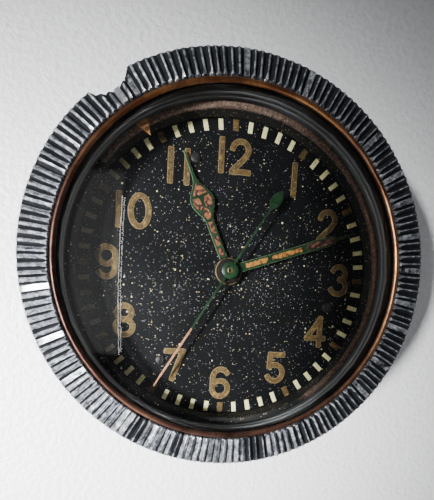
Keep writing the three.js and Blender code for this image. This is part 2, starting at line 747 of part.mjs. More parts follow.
function clickSpring() {
  const z0 = RATCHET_BOTTOM + 0.25;
  const z1 = RATCHET_TOP - 0.25;
  const root = [-13.9, 14.4];
  const free = along(CLICK_PIVOT, CLICK_TIP, -CLICK_TAIL, -1.05);
  const foot = cylinder(0.8, z0, BRIDGE_BOTTOM - 0.06, root);
  return join(foot, bar(root, free, 0.35, z0, z1));
}

add("click_spring", clickSpring(), "blued");

// ---- Motion work under the dial ----

const CANNON_Z = [DIAL_Z - 3.9, DIAL_Z - 3.2];
const HOUR_Z = [DIAL_Z - 2.6, DIAL_Z - 1.9];
const MINUTE_HAND_Z = [DIAL_Z + 1.9, DIAL_Z + 2.15];
const HOUR_HAND_Z = [DIAL_Z + 0.85, DIAL_Z + 1.1];
const CANNON_R = 1.4;
const CANNON_BORE = 1.15;
const HOUR_PIPE_R = 2.1;
const TO_MINUTE = ARBOR_DEG.minute;

add(
  "cannon_pinion",
  cut(
    join(
      wheel(GEAR.cannon, gapTowards(GEAR.cannon, TO_MINUTE), ...CANNON_Z),
      cylinder(CANNON_R, CANNON_Z[0], MINUTE_HAND_Z[0] - 0.08),
    ),
    cylinder(CANNON_BORE, 0, DIAL_Z + 9),
  ),
  "steel",
);
add(
  "minute_wheel",
  cut(
    join(
      wheel(GEAR.minute, TO_MINUTE + 180, ...CANNON_Z),
      wheel(GEAR.minutePinion, gapTowards(GEAR.minutePinion, TO_MINUTE + 180), CANNON_Z[0], HOUR_Z[1]),
    ),
    cylinder(PIVOT_HOLE_R, 0, DIAL_Z, CENTRE, 8),
  ),
  "brass",
  at2(MINUTE_AT),
);
add(
  "hour_wheel",
  cut(
    join(
      wheel(GEAR.hour, TO_MINUTE, ...HOUR_Z),
      cylinder(HOUR_PIPE_R, HOUR_Z[0], HOUR_HAND_Z[0] - 0.08),
    ),
    cylinder(CANNON_R + 0.15, 0, DIAL_Z + 9),
  ),
  "brass",
);

// ---- Dial and hands ----

function dial() {
  const holes = DIAL_SCREWS_AT.map((p) => cylinder(0.65, 0, DIAL_Z + 1, p, 8));
  const centreHole = cylinder(HOUR_PIPE_R + 0.3, 0, DIAL_Z + 1, CENTRE, 16);
  return cut(cylinder(DIAL_R, DIAL_Z - DIAL_THICK, DIAL_Z, CENTRE, ROUND), ...holes, centreHole);
}

add("dial", dial(), "dial");
DIAL_SCREWS_AT.forEach((p, k) =>
  add(`dial_screw_${k + 1}`, screwSolid(DIAL_SCREW), "steel", at2(p, DIAL_Z + DIAL_SCREW.headH + 0.03)),
);

// A hand along +Y: half-widths at distances from the centre, with a round boss and its bore.
function hand(widths, [z0, z1], bossR, boreR, bossZ) {
  const right = widths.map(([r, half]) => [half, r]);
  const left = [...widths].reverse().map(([r, half]) => [-half, r]);
  const blade = prism(outlineShape([...right, ...left]), z0, z1);
  const boss = cylinder(bossR, ...bossZ, CENTRE, 20);
  const made = join(blade, boss);
  return boreR ? cut(made, cylinder(boreR, 0, DIAL_Z + 9)) : made;
}

const HOUR_HAND = [
  [0, 0.75],
  [8.4, 0.75],
  [10, 1.3],
  [12, 2.1],
  [13.6, 1.75],
  [16.5, 0.8],
  [21.2, 0.12],
];
const MINUTE_HAND = [
  [0, 0.75],
  [20.2, 0.9],
  [21.2, 0.35],
  [24, 0.1],
];
const SECOND_HAND = [
  [-16.8, 0.1],
  [-15.2, 0.6],
  [-13.6, 1.1],
  [-12.2, 0.5],
  [-11.6, 0.25],
  [0, 0.35],
  [23.8, 0.15],
];

const turnTo = (clockDeg) => [0, 0, rad(-clockDeg)];
add(
  "hour_hand",
  hand(HOUR_HAND, HOUR_HAND_Z, 2.6, CANNON_R + 0.15, [HOUR_HAND_Z[0], HOUR_HAND_Z[1] + 0.3]),
  "green",
  [0, 0, 0],
  turnTo(HOUR_CLOCK),
);
add(
  "minute_hand",
  hand(MINUTE_HAND, MINUTE_HAND_Z, 2, ARBOR_R + 0.15, MINUTE_HAND_Z),
  "green",
  [0, 0, 0],
  turnTo(MINUTE_CLOCK),
);
add(
  "second_hand",
  hand(SECOND_HAND, SECOND_HAND_Z, 1.5, 0, [SECOND_HAND_Z[0] - 0.3, SECOND_HAND_Z[1] + 0.1]),
  "green",
  [0, 0, 0],
  turnTo(SECOND_CLOCK),
);

// ---- Bezel, crystal and index ring ----

// Joins neighbouring rings of points into one closed skin. The rings may differ in count.
function ringSkin(rings) {
  const positions = [];
  const starts = rings.map((points) => {
    const start = positions.length / 3;
    points.forEach((p) => positions.push(...p));
    return start;
  });
  const triangles = [];
  rings.forEach((lower, k) => {
    const next = (k + 1) % rings.length;
    const upper = rings[next];
    let [i, j] = [0, 0];
    while (i < lower.length || j < upper.length) {
      const a = starts[k] + (i % lower.length);
      const b = starts[next] + (j % upper.length);
      const stepLower = (i + 1) / lower.length <= (j + 1) / upper.length;
      const c = stepLower ? starts[k] + ((i + 1) % lower.length) : starts[next] + ((j + 1) % upper.length);
      triangles.push(a, c, b);
      if (stepLower) i++;
      else j++;
    }
  });
  const geometry = new THREE.BufferGeometry();
  geometry.setAttribute("position", new THREE.Float32BufferAttribute(positions, 3));
  geometry.setIndex(triangles);
  return solid(geometry);
}

// A ring of points: odd ones sit at the ridge, even ones at the valley.
function wavyRing(count, ridge, valley = ridge) {
  return Array.from({ length: count }, (_, k) => {
    const [r, z] = k % 2 ? ridge : valley;
    return [...polar(r, (360 * k) / count), z];
  });
}

const SKIRT_Z = DIAL_Z - 4.5;
const SHOULDER_Z = DIAL_Z + 5.4;
const FRONT_OUTER = [32.35, DIAL_Z + 7.5];
const FRONT_INNER = [28.1, DIAL_Z + 8.6];

function flutedBezel() {
  const valleyR = BEZEL_R - SCALLOP_DEPTH;
  const deeper = ([r, z]) => [r, z - FLUTE_DEPTH];
  const body = ringSkin([
    wavyRing(FLUTES, [BEZEL_R, SKIRT_Z], [valleyR, SKIRT_Z]),
    wavyRing(FLUTES, [BEZEL_R, SHOULDER_Z], [valleyR, SHOULDER_Z]),
    wavyRing(2 * FLUTES, FRONT_OUTER, deeper(FRONT_OUTER)),
    wavyRing(2 * FLUTES, FRONT_INNER, deeper(FRONT_INNER)),
    wavyRing(ROUND, [RECESS_R, DIAL_Z + 8.2]),
    wavyRing(ROUND, [RECESS_R, SEAT_Z]),
    wavyRing(ROUND, [INNER_WALL_R, SEAT_Z]),
    wavyRing(ROUND, [INNER_WALL_R, DIAL_Z - 1.4]),
    wavyRing(ROUND, [NECK_BORE_R - RUN_GAP, DIAL_Z - 1.4]),
    wavyRing(ROUND, [NECK_BORE_R - RUN_GAP, DIAL_Z + 2.2]),
    wavyRing(ROUND, [NECK_R + 0.4, DIAL_Z + 2.2]),
    wavyRing(ROUND, [NECK_R + 0.4, WIRE.z1 + 0.2]),
    wavyRing(ROUND, [WIRE.outerR + 0.3, WIRE.z1 + 0.2]),
    wavyRing(ROUND, [WIRE.outerR + 0.3, WIRE.z0 - 0.2]),
    wavyRing(ROUND, [NECK_R + 0.4, WIRE.z0 - 0.2]),
    wavyRing(ROUND, [NECK_R + 0.4, SKIRT_Z]),
  ]);
  const notch = cylinder(NOTCH.r, 0, DIAL_Z + 20, polar(NOTCH.centreR, fromClock(NOTCH.clock)), 32);
  return cut(body, notch);
}

const bezel = new THREE.Group();
clock.add(bezel);
add("fluted_bezel", flutedBezel(), "wornSteel", [0, 0, 0], [0, 0, 0], bezel);

const GASKET_THICK = 0.2;
const CRYSTAL = {
  rimR: 27.6, domeR: 26.3, bottom: SEAT_Z + 0.3, rimTop: DIAL_Z + 7.8, rise: 1.9, thick: 1.7,
};

// Points of a shallow arch from the axis out to radius r.
const arch = (r, base, rise, steps) =>
  Array.from({ length: steps + 1 }, (_, k) => {
    const t = k / steps;
    return [r * t, base + rise * (1 - t * t)];
  });

function crystal() {
  const top = arch(CRYSTAL.domeR, CRYSTAL.rimTop, CRYSTAL.rise, 4);
  const under = arch(CRYSTAL.domeR - 0.6, CRYSTAL.bottom, CRYSTAL.rise, 3).reverse();
  return lathe([
    ...top,
    [CRYSTAL.rimR, CRYSTAL.rimTop - 0.2],
    [CRYSTAL.rimR, CRYSTAL.bottom],
    ...under,
  ]);
}

add("crystal", crystal(), "glass", [0, 0, 0], [0, 0, 0], bezel);
add(
  "crystal_gasket",
  ring(INNER_WALL_R + 0.1, CRYSTAL.rimR, SEAT_Z + 0.05, SEAT_Z + 0.05 + GASKET_THICK),
  "rubber",
  [0, 0, 0],
  [0, 0, 0],
  bezel,
);

function crystalRing() {
  const wireR = 0.44;
  const middle = [27.2, DIAL_Z + 8.35];
  const section = Array.from({ length: 6 }, (_, k) => {
    const [dr, dz] = polar(wireR, 60 * k);
    return [middle[0] + dr, middle[1] + dz];
  });
  return lathe(section);
}

add("crystal_ring", crystalRing(), "copper", [0, 0, 0], [0, 0, 0], bezel);

const INDEX_RING = { innerR: 25.8, outerR: INNER_WALL_R - 0.25, bottom: DIAL_Z + 0.4, top: DIAL_Z + 3.5 };
add(
  "index_ring",
  ring(INDEX_RING.innerR, INDEX_RING.outerR, INDEX_RING.bottom, INDEX_RING.top),
  "black",
  [0, 0, 0],
  [0, 0, 0],
  bezel,
);

const MARKER = { tipR: 24.5, baseR: 26.5, halfBaseDeg: 2.5, thick: 0.3 };

function indexTriangle() {
  const middle = fromClock(MARKER_CLOCK);
  const corners = [
    polar(MARKER.tipR, middle),
    polar(MARKER.baseR, middle - MARKER.halfBaseDeg),
    polar(MARKER.baseR, middle + MARKER.halfBaseDeg),
  ];
  return prism(outlineShape(corners), INDEX_RING.top + 0.05, INDEX_RING.top + 0.05 + MARKER.thick);
}

add("index_triangle", indexTriangle(), "orange", [0, 0, 0], [0, 0, 0], bezel);

function bezelGear() {
  const shape = new THREE.Shape();
  shape.absarc(0, 0, NECK_BORE_R - RUN_GAP, 0, 2 * Math.PI, false);
  const teeth = toothPoints(GEAR.bezel, ARBOR_DEG.winding, true).reverse();
  shape.holes.push(new THREE.Path(teeth.map(([x, y]) => new THREE.Vector2(x, y))));
  return prism(shape, DIAL_Z - 3.6, DIAL_Z - 1.7, 18);
}

add("bezel_gear", bezelGear(), "steel", [0, 0, 0], [0, 0, 0], bezel);

// ---- Set button ----

add(
  "set_button",
  join(
    buttonTube(BUTTON.stemR, 21.4, BUTTON.restR - 0.6),
    buttonTube(BUTTON.headR, BUTTON.restR - 0.8, BUTTON.restR + 0.6),
  ),
  "steel",
);
add(
  "button_spring",
  cut(buttonTube(1.5, DRUM_R + 0.1, DRUM_R + 0.5), buttonTube(1.1, DRUM_R - 1, DRUM_R + 2)),
  "steel",
);

function settingLever() {
  const z0 = BUTTON.z - 0.4;
  const z1 = BUTTON.z + 0.4;
  const arm = bar(LEVER_PIVOT, LEVER_END, 1.1, z0, z1);
  const pin = cylinder(0.6, z0 + 0.2, PLATE_TOP - 0.6, LEVER_PIVOT);
  return join(arm, cylinder(1.3, z0, z1, LEVER_PIVOT), pin);
}

add("setting_lever", settingLever(), "steel");

// The wire ring in the case's neck that keeps the bezel on.
add("retaining_ring", ring(WIRE.innerR, WIRE.outerR, WIRE.z0, WIRE.z1), "steel");

export default clock;
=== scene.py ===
import json
import math
import random

import bmesh
import bpy
from mathutils import Matrix, Vector, noise


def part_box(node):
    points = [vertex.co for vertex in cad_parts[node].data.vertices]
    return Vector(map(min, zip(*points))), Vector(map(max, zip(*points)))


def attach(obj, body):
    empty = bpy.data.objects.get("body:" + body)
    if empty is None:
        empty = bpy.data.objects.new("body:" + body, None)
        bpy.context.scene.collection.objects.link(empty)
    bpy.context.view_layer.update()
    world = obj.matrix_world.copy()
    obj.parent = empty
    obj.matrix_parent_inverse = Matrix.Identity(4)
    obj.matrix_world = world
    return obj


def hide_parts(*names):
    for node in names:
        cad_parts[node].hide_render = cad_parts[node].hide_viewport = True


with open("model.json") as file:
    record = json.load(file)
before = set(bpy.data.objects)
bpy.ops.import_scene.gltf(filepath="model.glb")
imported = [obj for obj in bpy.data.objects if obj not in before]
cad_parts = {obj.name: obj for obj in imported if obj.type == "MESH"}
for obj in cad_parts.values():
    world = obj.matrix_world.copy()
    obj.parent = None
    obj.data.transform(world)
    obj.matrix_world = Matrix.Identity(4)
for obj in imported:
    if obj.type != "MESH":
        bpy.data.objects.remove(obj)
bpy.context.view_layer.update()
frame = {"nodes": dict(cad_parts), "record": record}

# A ship's deck clock lying on its back, with its dial up and 12 o'clock towards +Y. Sizes are in
# millimetres and become metres in the meshes. Angles are in degrees, anticlockwise from +X, or
# clockwise from 12 where a name says clock.
MM = 0.001

# Levels, taken from the frame
DIAL_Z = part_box("dial")[1][2] / MM
SKIRT_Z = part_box("fluted_bezel")[0][2] / MM

# Bezel
BEZEL_R = 33.0
FLUTES = 170
POINTS_PER_FLUTE = 8
RIM_R = 27.8
WALL_R = 26.9
SKIRT_IN_R = 30.0
GEAR_SEAT_R = 28.6
NOTCH_R = 3.9
NOTCH_CENTRE_R = 34.3
NOTCH_DEG = 90 - 321.5
LEDGE_R = 25.8
LEDGE_Z = DIAL_Z + 3.5
MARKER_DEG = 90 - 324.9

# Dial and hands
DIAL_R = 26.3
MARK_IN_R = 23.8
MARK_OUT_R = 25.65
STROKE = 0.92
DIAL_SCREW_R = 19.8
DIAL_SCREW_CLOCKS = (105.35, 214.6, 340.4)
HOUR_CLOCK = 335.9
MINUTE_CLOCK = 70
SECOND_CLOCK = 210.7

# Case
FLANGE_R = 37.0
FLANGE_T = 3.0
FLANGE_HOLE_R = 2.1
FLANGE_HOLE_PITCH_R = 33.3
FLANGE_HOLE_DEGS = (30, 150, 270)
COVER_R = 25.6
COVER_SCREW_R = 24
COVER_SCREW_DEGS = (60, 180, 300)
BUTTON_DEG = -60


# ---------- camera

def make_camera():
    """Looks down on the dial from a little to the left, with the lens shifted up."""
    data = bpy.data.cameras.new("camera")
    cam = bpy.data.objects.new("camera", data)
    bpy.context.scene.collection.objects.link(cam)
    at = Vector((-9.6, -6.55, DIAL_Z + 66.86)) * MM
    forward = Vector((0.14664, -0.10999, -0.98306)).normalized()
    right = forward.cross(Vector((-0.0418, 0.9922, -0.1173))).normalized()
    up = right.cross(forward)
    turn = Matrix((right, up, -forward)).transposed().to_4x4()
    cam.matrix_world = Matrix.Translation(at) @ turn
    data.sensor_width = 36
    data.lens = 26.75
    data.shift_x = -0.016
    data.shift_y = 0.2
    data.clip_start = 0.001
    bpy.context.scene.camera = cam


make_camera()


# ---------- mesh helpers

def new_object(name, verts, faces, material=None, smooth=30, body=None, slot=None, replaces=None):
    """A mesh in the scene, with what it rides on and the node it stands for. The slot argument is not used.
    """
    mesh = bpy.data.meshes.new(name)
    mesh.from_pydata([Vector(v) * MM for v in verts], [], faces)
    mesh.validate()
    if smooth:
        mesh.shade_smooth()
        mesh.set_sharp_from_angle(angle=math.radians(smooth))
    ob = bpy.data.objects.new(name, mesh)
    bpy.context.scene.collection.objects.link(ob)
    if material:
        mesh.materials.append(material)
    if body:
        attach(ob, body)
    if replaces:
        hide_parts(replaces)
    return ob


def polar(r, deg):
    a = math.radians(deg)
    return (r * math.cos(a), r * math.sin(a))


def between(stops, deg):
    """Value at an angle, from (angle, value) stops that rise through one full turn."""
    if deg > stops[-1][0]:
        deg -= 360
    for (a, at_a), (b, at_b) in zip(stops, stops[1:]):
        if a <= deg <= b:
            return at_a + (at_b - at_a) * (deg - a) / (b - a)
    return stops[-1][1]


def grid_faces(rows, cols, close_rows=False):
    """Quads between rows of points that each close on themselves."""
    faces = []
    for i in range(rows if close_rows else rows - 1):
        for j in range(cols):
            a, b = i * cols + j, i * cols + (j + 1) % cols
            c, d = ((i + 1) % rows) * cols + (j + 1) % cols, ((i + 1) % rows) * cols + j
            faces.append((a, b, c, d))
    return faces


def end_faces(rows, cols):
    """The two flat faces that close a tube of rows of points."""
    return [tuple(range((rows - 1) * cols, rows * cols)), tuple(reversed(range(cols)))]


def turned(profile, seg=160, closed=True, wobble=None):
    """A profile of (radius, z) turned round Z, anticlockwise as seen with the radius to the right."""
    verts = []
    for r, z in profile:
        for j in range(seg):
            deg = 360 * j / seg
            rr, zz = wobble(r, z, deg) if wobble else (r, z)
            verts.append((*polar(rr, deg), zz))
    return verts, grid_faces(len(profile), seg, closed)


def rounded(profile, bevel=0.15, steps=3):
    """The closed profile with each corner rounded off."""
    out = []
    n = len(profile)
    for i, p in enumerate(profile):
        before, corner, after = Vector(profile[i - 1]), Vector(p), Vector(profile[(i + 1) % n])
        back, on = before - corner, after - corner
        cut = min(bevel, back.length * 0.45, on.length * 0.45)
        start, end = corner + back.normalized() * cut, corner + on.normalized() * cut
        for k in range(steps + 1):
            t = k / steps
            q = start * (1 - t) ** 2 + corner * 2 * t * (1 - t) + end * t * t
            out.append((q.x, q.y))
    return out


def washer(inner, outer, z0, z1, bevel, seg=64):
    """A flat ring with rounded edges."""
    return turned(rounded([(inner, z0), (outer, z0), (outer, z1), (inner, z1)], bevel), seg)


def place(verts, at=(0, 0, 0), turn=0.0, flip=False):
    m = Matrix.Translation(Vector(at)) @ Matrix.Rotation(math.radians(turn), 4, "Z")
    if flip:
        m = m @ Matrix.Rotation(math.pi, 4, "X")
    return [tuple(m @ Vector(v)) for v in verts]


def joined(parts):
    verts, faces = [], []
    for v, f in parts:
        base = len(verts)
        verts += v
        faces += [tuple(i + base for i in q) for q in f]
    return verts, faces


def plate(outline, z0, z1, bevel=0.05):
    """A flat plate of an anticlockwise outline with its upper edge eased."""
    n = len(outline)
    inner = []
    for i, p in enumerate(outline):
        a, b, c = Vector(outline[i - 1]), Vector(p), Vector(outline[(i + 1) % n])
        u, w = (b - a).normalized(), (c - b).normalized()
        side = Vector((-u.y, u.x))
        nrm = Vector((-(u.y + w.y), u.x + w.x))
        nrm = nrm.normalized() if nrm.length > 1e-6 else side
        inner.append(tuple(b + nrm * (bevel / max(0.5, nrm.dot(side)))))
    verts = [(x, y, z) for z in (z0, z1 - bevel) for x, y in outline]
    verts += [(x, y, z1) for x, y in inner]
    return verts, grid_faces(3, n) + end_faces(3, n)


def slab(half, a, b, z0, z1, bevel=0.05):
    """A plate across the Y axis, from y = a to y = b."""
    return plate([(-half, a), (half, a), (half, b), (-half, b)], z0, z1, bevel)


def ribbon(path, width, z0, z1, bevel=0.05, cap=8):
    """A plate of even width with squarish ends that follows a smooth path."""
    pts = [Vector(p) for p in path]
    left, right = [], []
    for i, p in enumerate(pts):
        a, b = pts[max(i - 1, 0)], pts[min(i + 1, len(pts) - 1)]
        t = (b - a).normalized()
        nrm = Vector((-t.y, t.x)) * (width / 2)
        left.append(p + nrm)
        right.append(p - nrm)

    def squarish_end(p, t):
        side = Vector((t.y, -t.x))
        out = []
        for k in range(1, cap):
            a = math.pi * k / cap
            across = math.copysign(abs(math.cos(a)) ** 0.4, math.cos(a))
            out.append(p + (side * across + t * math.sin(a) ** 0.4) * (width / 2))
        return out

    last = squarish_end(pts[-1], (pts[-1] - pts[-2]).normalized())
    first = squarish_end(pts[0], (pts[0] - pts[1]).normalized())
    outline = right + last + left[::-1] + first
    return plate([(p.x, p.y) for p in outline], z0, z1, bevel)


def band(path, width, z0, z1, bevel=0.05):
    """A plate of even width that follows a closed path whose last point repeats its first."""
    pts = [Vector(p) for p in path[:-1]]
    h = width / 2
    section = [(-h, z0), (h, z0), (h, z1 - bevel), (h - bevel, z1), (bevel - h, z1), (-h, z1 - bevel)]
    n = len(pts)
    verts = []
    for off, z in section:
        for i, p in enumerate(pts):
            t = (pts[(i + 1) % n] - pts[i - 1]).normalized()
            q = p + Vector((t.y, -t.x)) * off
            verts.append((q.x, q.y, z))
    return verts, grid_faces(len(section), n, True)


def stroke(path, width, z0, z1, bevel=0.05):
    closed = (Vector(path[0]) - Vector(path[-1])).length < 1e-6
    return (band if closed else ribbon)(path, width, z0, z1, bevel)


def arc(cx, cy, rx, ry, a0, a1, n=14):
    """Points on an ellipse from angle a0 to a1."""
    angles = [math.radians(a0 + (a1 - a0) * k / n) for k in range(n + 1)]
    return [(cx + rx * math.cos(a), cy + ry * math.sin(a)) for a in angles]


def outward(ob):
    """Turns a closed piece's faces outwards."""
    bm = bmesh.new()
    bm.from_mesh(ob.data)
    bmesh.ops.recalc_face_normals(bm, faces=bm.faces)
    bm.to_mesh(ob.data)
    bm.free()


def carve(ob, cutters, smooth=None):
    """Cuts the cutters out of a piece and leaves a plain mesh."""
    for c in cutters:
        mod = ob.modifiers.new("cut", "BOOLEAN")
        mod.operation = "DIFFERENCE"
        mod.solver = "EXACT"
        mod.object = c
    dg = bpy.context.evaluated_depsgraph_get()
    cut = ob.evaluated_get(dg)
    mesh = bpy.data.meshes.new_from_object(cut, preserve_all_data_layers=True, depsgraph=dg)
    ob.modifiers.clear()
    ob.data = mesh
    for c in cutters:
        bpy.data.objects.remove(c, do_unlink=True)
    if smooth:
        ob.data.shade_smooth()
        ob.data.set_sharp_from_angle(angle=math.radians(smooth))


def drill(r, z0, z1, at=(0, 0), seg=48):
    verts, faces = turned([(r, z0), (r, z1)], seg, closed=False)
    return new_object("drill", place(verts, (*at, 0)), faces + end_faces(2, seg), smooth=0)


def point_values(ob, name, values):
    """One number for each vertex, for the materials to read."""
    layer = ob.data.attributes.new(name, "FLOAT", "POINT")
    layer.data.foreach_set("value", values)


# ---------- material helpers

class Look:
    """A short way to write a procedural material."""

    def __init__(self, name, metallic=0.0, roughness=0.5):
        self.m = bpy.data.materials.new(name)
        self.m.use_nodes = True
        self.t = self.m.node_tree
        self.b = self.t.nodes["Principled BSDF"]
        self.b.inputs["Metallic"].default_value = metallic
        self.b.inputs["Roughness"].default_value = roughness
        self.coord = self.t.nodes.new("ShaderNodeTexCoord").outputs["Object"]

    def feed(self, socket, value):
        """Links a node's output to a socket, or sets a plain value on it."""
        if isinstance(value, bpy.types.NodeSocket):
            self.t.links.new(value, socket)
        else:
            socket.default_value = value

    def node(self, kind, **inputs):
        n = self.t.nodes.new("ShaderNode" + kind)
        for name, value in inputs.items():
            self.feed(n.inputs[name], value)
        return n

    def noise(self, scale, detail=4.0, rough=0.6, vector=None):
        at = vector or self.coord
        return self.node("TexNoise", Vector=at, Scale=scale, Detail=detail, Roughness=rough).outputs["Fac"]

    def cells(self, scale):
        """Distance from the middle of the nearest cell, and three numbers drawn for that cell."""
        n = self.node("TexVoronoi", Vector=self.coord, Scale=scale)
        return n.outputs["Distance"], self.split(n.outputs["Color"])

    def split(self, vector):
        return self.node("SeparateXYZ", Vector=vector).outputs

    def stretch(self, scale):
        return self.node("Mapping", Vector=self.coord, Scale=scale).outputs[0]

    def math(self, op, a, b=0.0):
        n = self.t.nodes.new("ShaderNodeMath")
        n.operation = op
        self.feed(n.inputs[0], a)
        self.feed(n.inputs[1], b)
        return n.outputs[0]

    def sway(self, base, value, amount):
        """base, pushed up and down by a value that swings about a half."""
        push = self.math("MULTIPLY", self.math("SUBTRACT", value, 0.5), amount)
        return self.math("ADD", base, push)

    def span(self, value, lo, hi, a=0.0, b=1.0):
        """value from lo..hi to a..b, clamped."""
        n = self.node("MapRange")
        for socket, v in zip(n.inputs, (value, lo, hi, a, b)):
            self.feed(socket, v)
        return n.outputs[0]

    def mix(self, fac, a, b):
        """From colour a to colour b."""
        n = self.t.nodes.new("ShaderNodeMix")
        n.data_type = "RGBA"
        self.feed(n.inputs[0], fac)
        for socket, v in ((n.inputs[6], a), (n.inputs[7], b)):
            self.feed(socket, v if isinstance(v, bpy.types.NodeSocket) else (*v, 1))
        return n.outputs[2]

    def attribute(self, name):
        n = self.t.nodes.new("ShaderNodeAttribute")
        n.attribute_name = name
        return n.outputs["Fac"]

    def axes(self):
        return self.split(self.coord)

    def radius(self):
        """Distance from the clock's axis, in metres."""
        x, y, _ = self.axes()
        squares = self.math("ADD", self.math("MULTIPLY", x, x), self.math("MULTIPLY", y, y))
        return self.math("SQRT", squares)

    def set(self, **sockets):
        for key, value in sockets.items():
            self.feed(self.b.inputs[key.replace("_", " ")], value)

    def bump(self, *layers):
        """Layers of (height, strength, depth in metres)."""
        normal = None
        for height, strength, depth in layers:
            n = self.node("Bump", Height=height, Strength=strength, Distance=depth)
            if normal is not None:
                self.t.links.new(normal, n.inputs["Normal"])
            normal = n.outputs[0]
        self.t.links.new(normal, self.b.inputs["Normal"])


def grained(name, dark, light, reach, texture, relief, metallic=0.0, roughness=0.5, gloss=0.5):
    """Two colours and a fine relief that follow one grain."""
    l = Look(name, metallic, roughness)
    grain = l.noise(*texture)
    l.set(Base_Color=l.mix(l.span(grain, *reach), dark, light), Specular_IOR_Level=gloss)
    l.bump((grain, *relief))
    return l.m


# ---------- materials

def bezel_look():
    """Worn steel: black finish left in the flutes, bright brushed metal on the ridges, more of it on the lit
    side as painted light, and a pale painted sheen on the inside wall.
    """
    l = Look("bezel_worn", metallic=0.9, roughness=0.35)
    wear, white_and_sheen = l.attribute("wear"), l.attribute("white_and_sheen")
    x, y, _ = l.axes()
    around = l.t.nodes.new("ShaderNodeVectorMath")
    around.operation = "NORMALIZE"
    l.feed(around.inputs[0], l.node("CombineXYZ", X=x, Y=y).outputs[0])
    east, north, _ = l.split(around.outputs[0])
    flow = l.node("CombineXYZ", X=east, Y=north, Z=l.math("MULTIPLY", l.radius(), 12.0)).outputs[0]
    grit = l.noise(1100, 6, 0.7)
    scuff = l.noise(300, 5, 0.65)
    streak = l.noise(75, 4, 0.7, flow)
    mask = l.span(l.sway(l.sway(wear, scuff, 0.35), grit, 0.45), 0.46, 0.66)
    metal = l.mix(l.span(streak, 0.38, 0.64), (0.06, 0.065, 0.075), (0.58, 0.60, 0.65))
    metal = l.mix(l.span(grit, 0.50, 0.68), metal, (0.86, 0.88, 0.92))
    black = l.mix(l.span(grit, 0.3, 0.7), (0.003, 0.0035, 0.0045), (0.014, 0.015, 0.018))
    # Pale colour: white rubbed metal on some flutes, and a painted sheen on the inside wall
    color = l.mix(white_and_sheen, l.mix(mask, black, metal), (0.84, 0.86, 0.89))
    l.set(Base_Color=color, Metallic=l.span(mask, 0, 1, 0.1, 1.0))
    l.set(Roughness=l.span(grit, 0.2, 0.8, 0.28, 0.52), Specular_IOR_Level=l.span(mask, 0, 1, 0.15, 0.5))
    l.bump((streak, 0.5, 0.00010), (scuff, 0.25, 0.00010), (grit, 0.4, 0.00005))
    return l.m


def bead_look():
    """Red bronze with gold rubbed through at the top, painted shade that darkens it at the left, and a
    painted highlight of paler copper at the right.
    """
    l = Look("bead_bronze", metallic=0.95, roughness=0.25)
    big, fine = l.noise(110, 4, 0.6), l.noise(1500, 5, 0.7)
    x, y, _ = l.axes()
    color = l.mix(l.span(big, 0.40, 0.66), (0.020, 0.009, 0.007), (0.085, 0.036, 0.026))
    gilt = l.mix(l.span(big, 0.45, 0.62), (0.16, 0.055, 0.022), (0.44, 0.20, 0.07))
    brown = l.mix(l.span(big, 0.4, 0.6), (0.060, 0.028, 0.020), (0.26, 0.125, 0.085))
    # Paler copper for the right side: a painted highlight
    copper = l.mix(l.span(big, 0.42, 0.60), (0.13, 0.048, 0.022), (0.50, 0.26, 0.13))
    # Darker colour for the left side: painted shade
    dark = l.mix(l.span(big, 0.42, 0.6), (0.020, 0.010, 0.008), (0.085, 0.040, 0.031))
    to_top = l.math("ADD", y, l.math("MULTIPLY", x, -0.45))
    color = l.mix(l.span(to_top, 0.010, 0.026), color, gilt)
    color = l.mix(l.span(y, -0.012, -0.024), color, brown)
    color = l.mix(l.span(x, 0.018, 0.027), color, copper)
    color = l.mix(l.span(x, -0.016, -0.026), color, dark)
    color = l.mix(l.span(fine, 0.50, 0.72), color, (0.07, 0.04, 0.032))
    l.set(Base_Color=color, Roughness=l.span(fine, 0.3, 0.75, 0.24, 0.50))
    l.bump((big, 0.3, 0.0001), (fine, 0.35, 0.00003))
    return l.m


def ledge_look():
    """Blackened ledge with brown corrosion along its rim, and dust."""
    l = Look("ledge_corroded")
    rust = l.attribute("rust")
    grain, patch = l.noise(2600, 5, 0.75), l.noise(170, 4, 0.6)
    brown = l.mix(l.span(grain, 0.35, 0.68), (0.055, 0.034, 0.028), (0.31, 0.20, 0.155))
    brown = l.mix(l.span(l.noise(4200, 3, 0.6), 0.6, 0.72), brown, (0.42, 0.30, 0.22))
    black = l.mix(l.span(patch, 0.35, 0.7), (0.010, 0.010, 0.010), (0.034, 0.032, 0.031))
    edge = l.span(l.sway(rust, patch, 0.5), 0.4, 0.55)
    away, drawn = l.cells(2400)
    speck = l.math("MULTIPLY", l.math("LESS_THAN", drawn[0], 0.22), l.math("LESS_THAN", away, 0.28))
    color = l.mix(speck, l.mix(edge, black, brown), (0.42, 0.34, 0.24))
    l.set(Base_Color=color, Roughness=l.span(edge, 0, 1, 0.75, 0.9), Specular_IOR_Level=0.15)
    l.bump((grain, 0.6, 0.00012), (patch, 0.3, 0.0001))
    return l.m


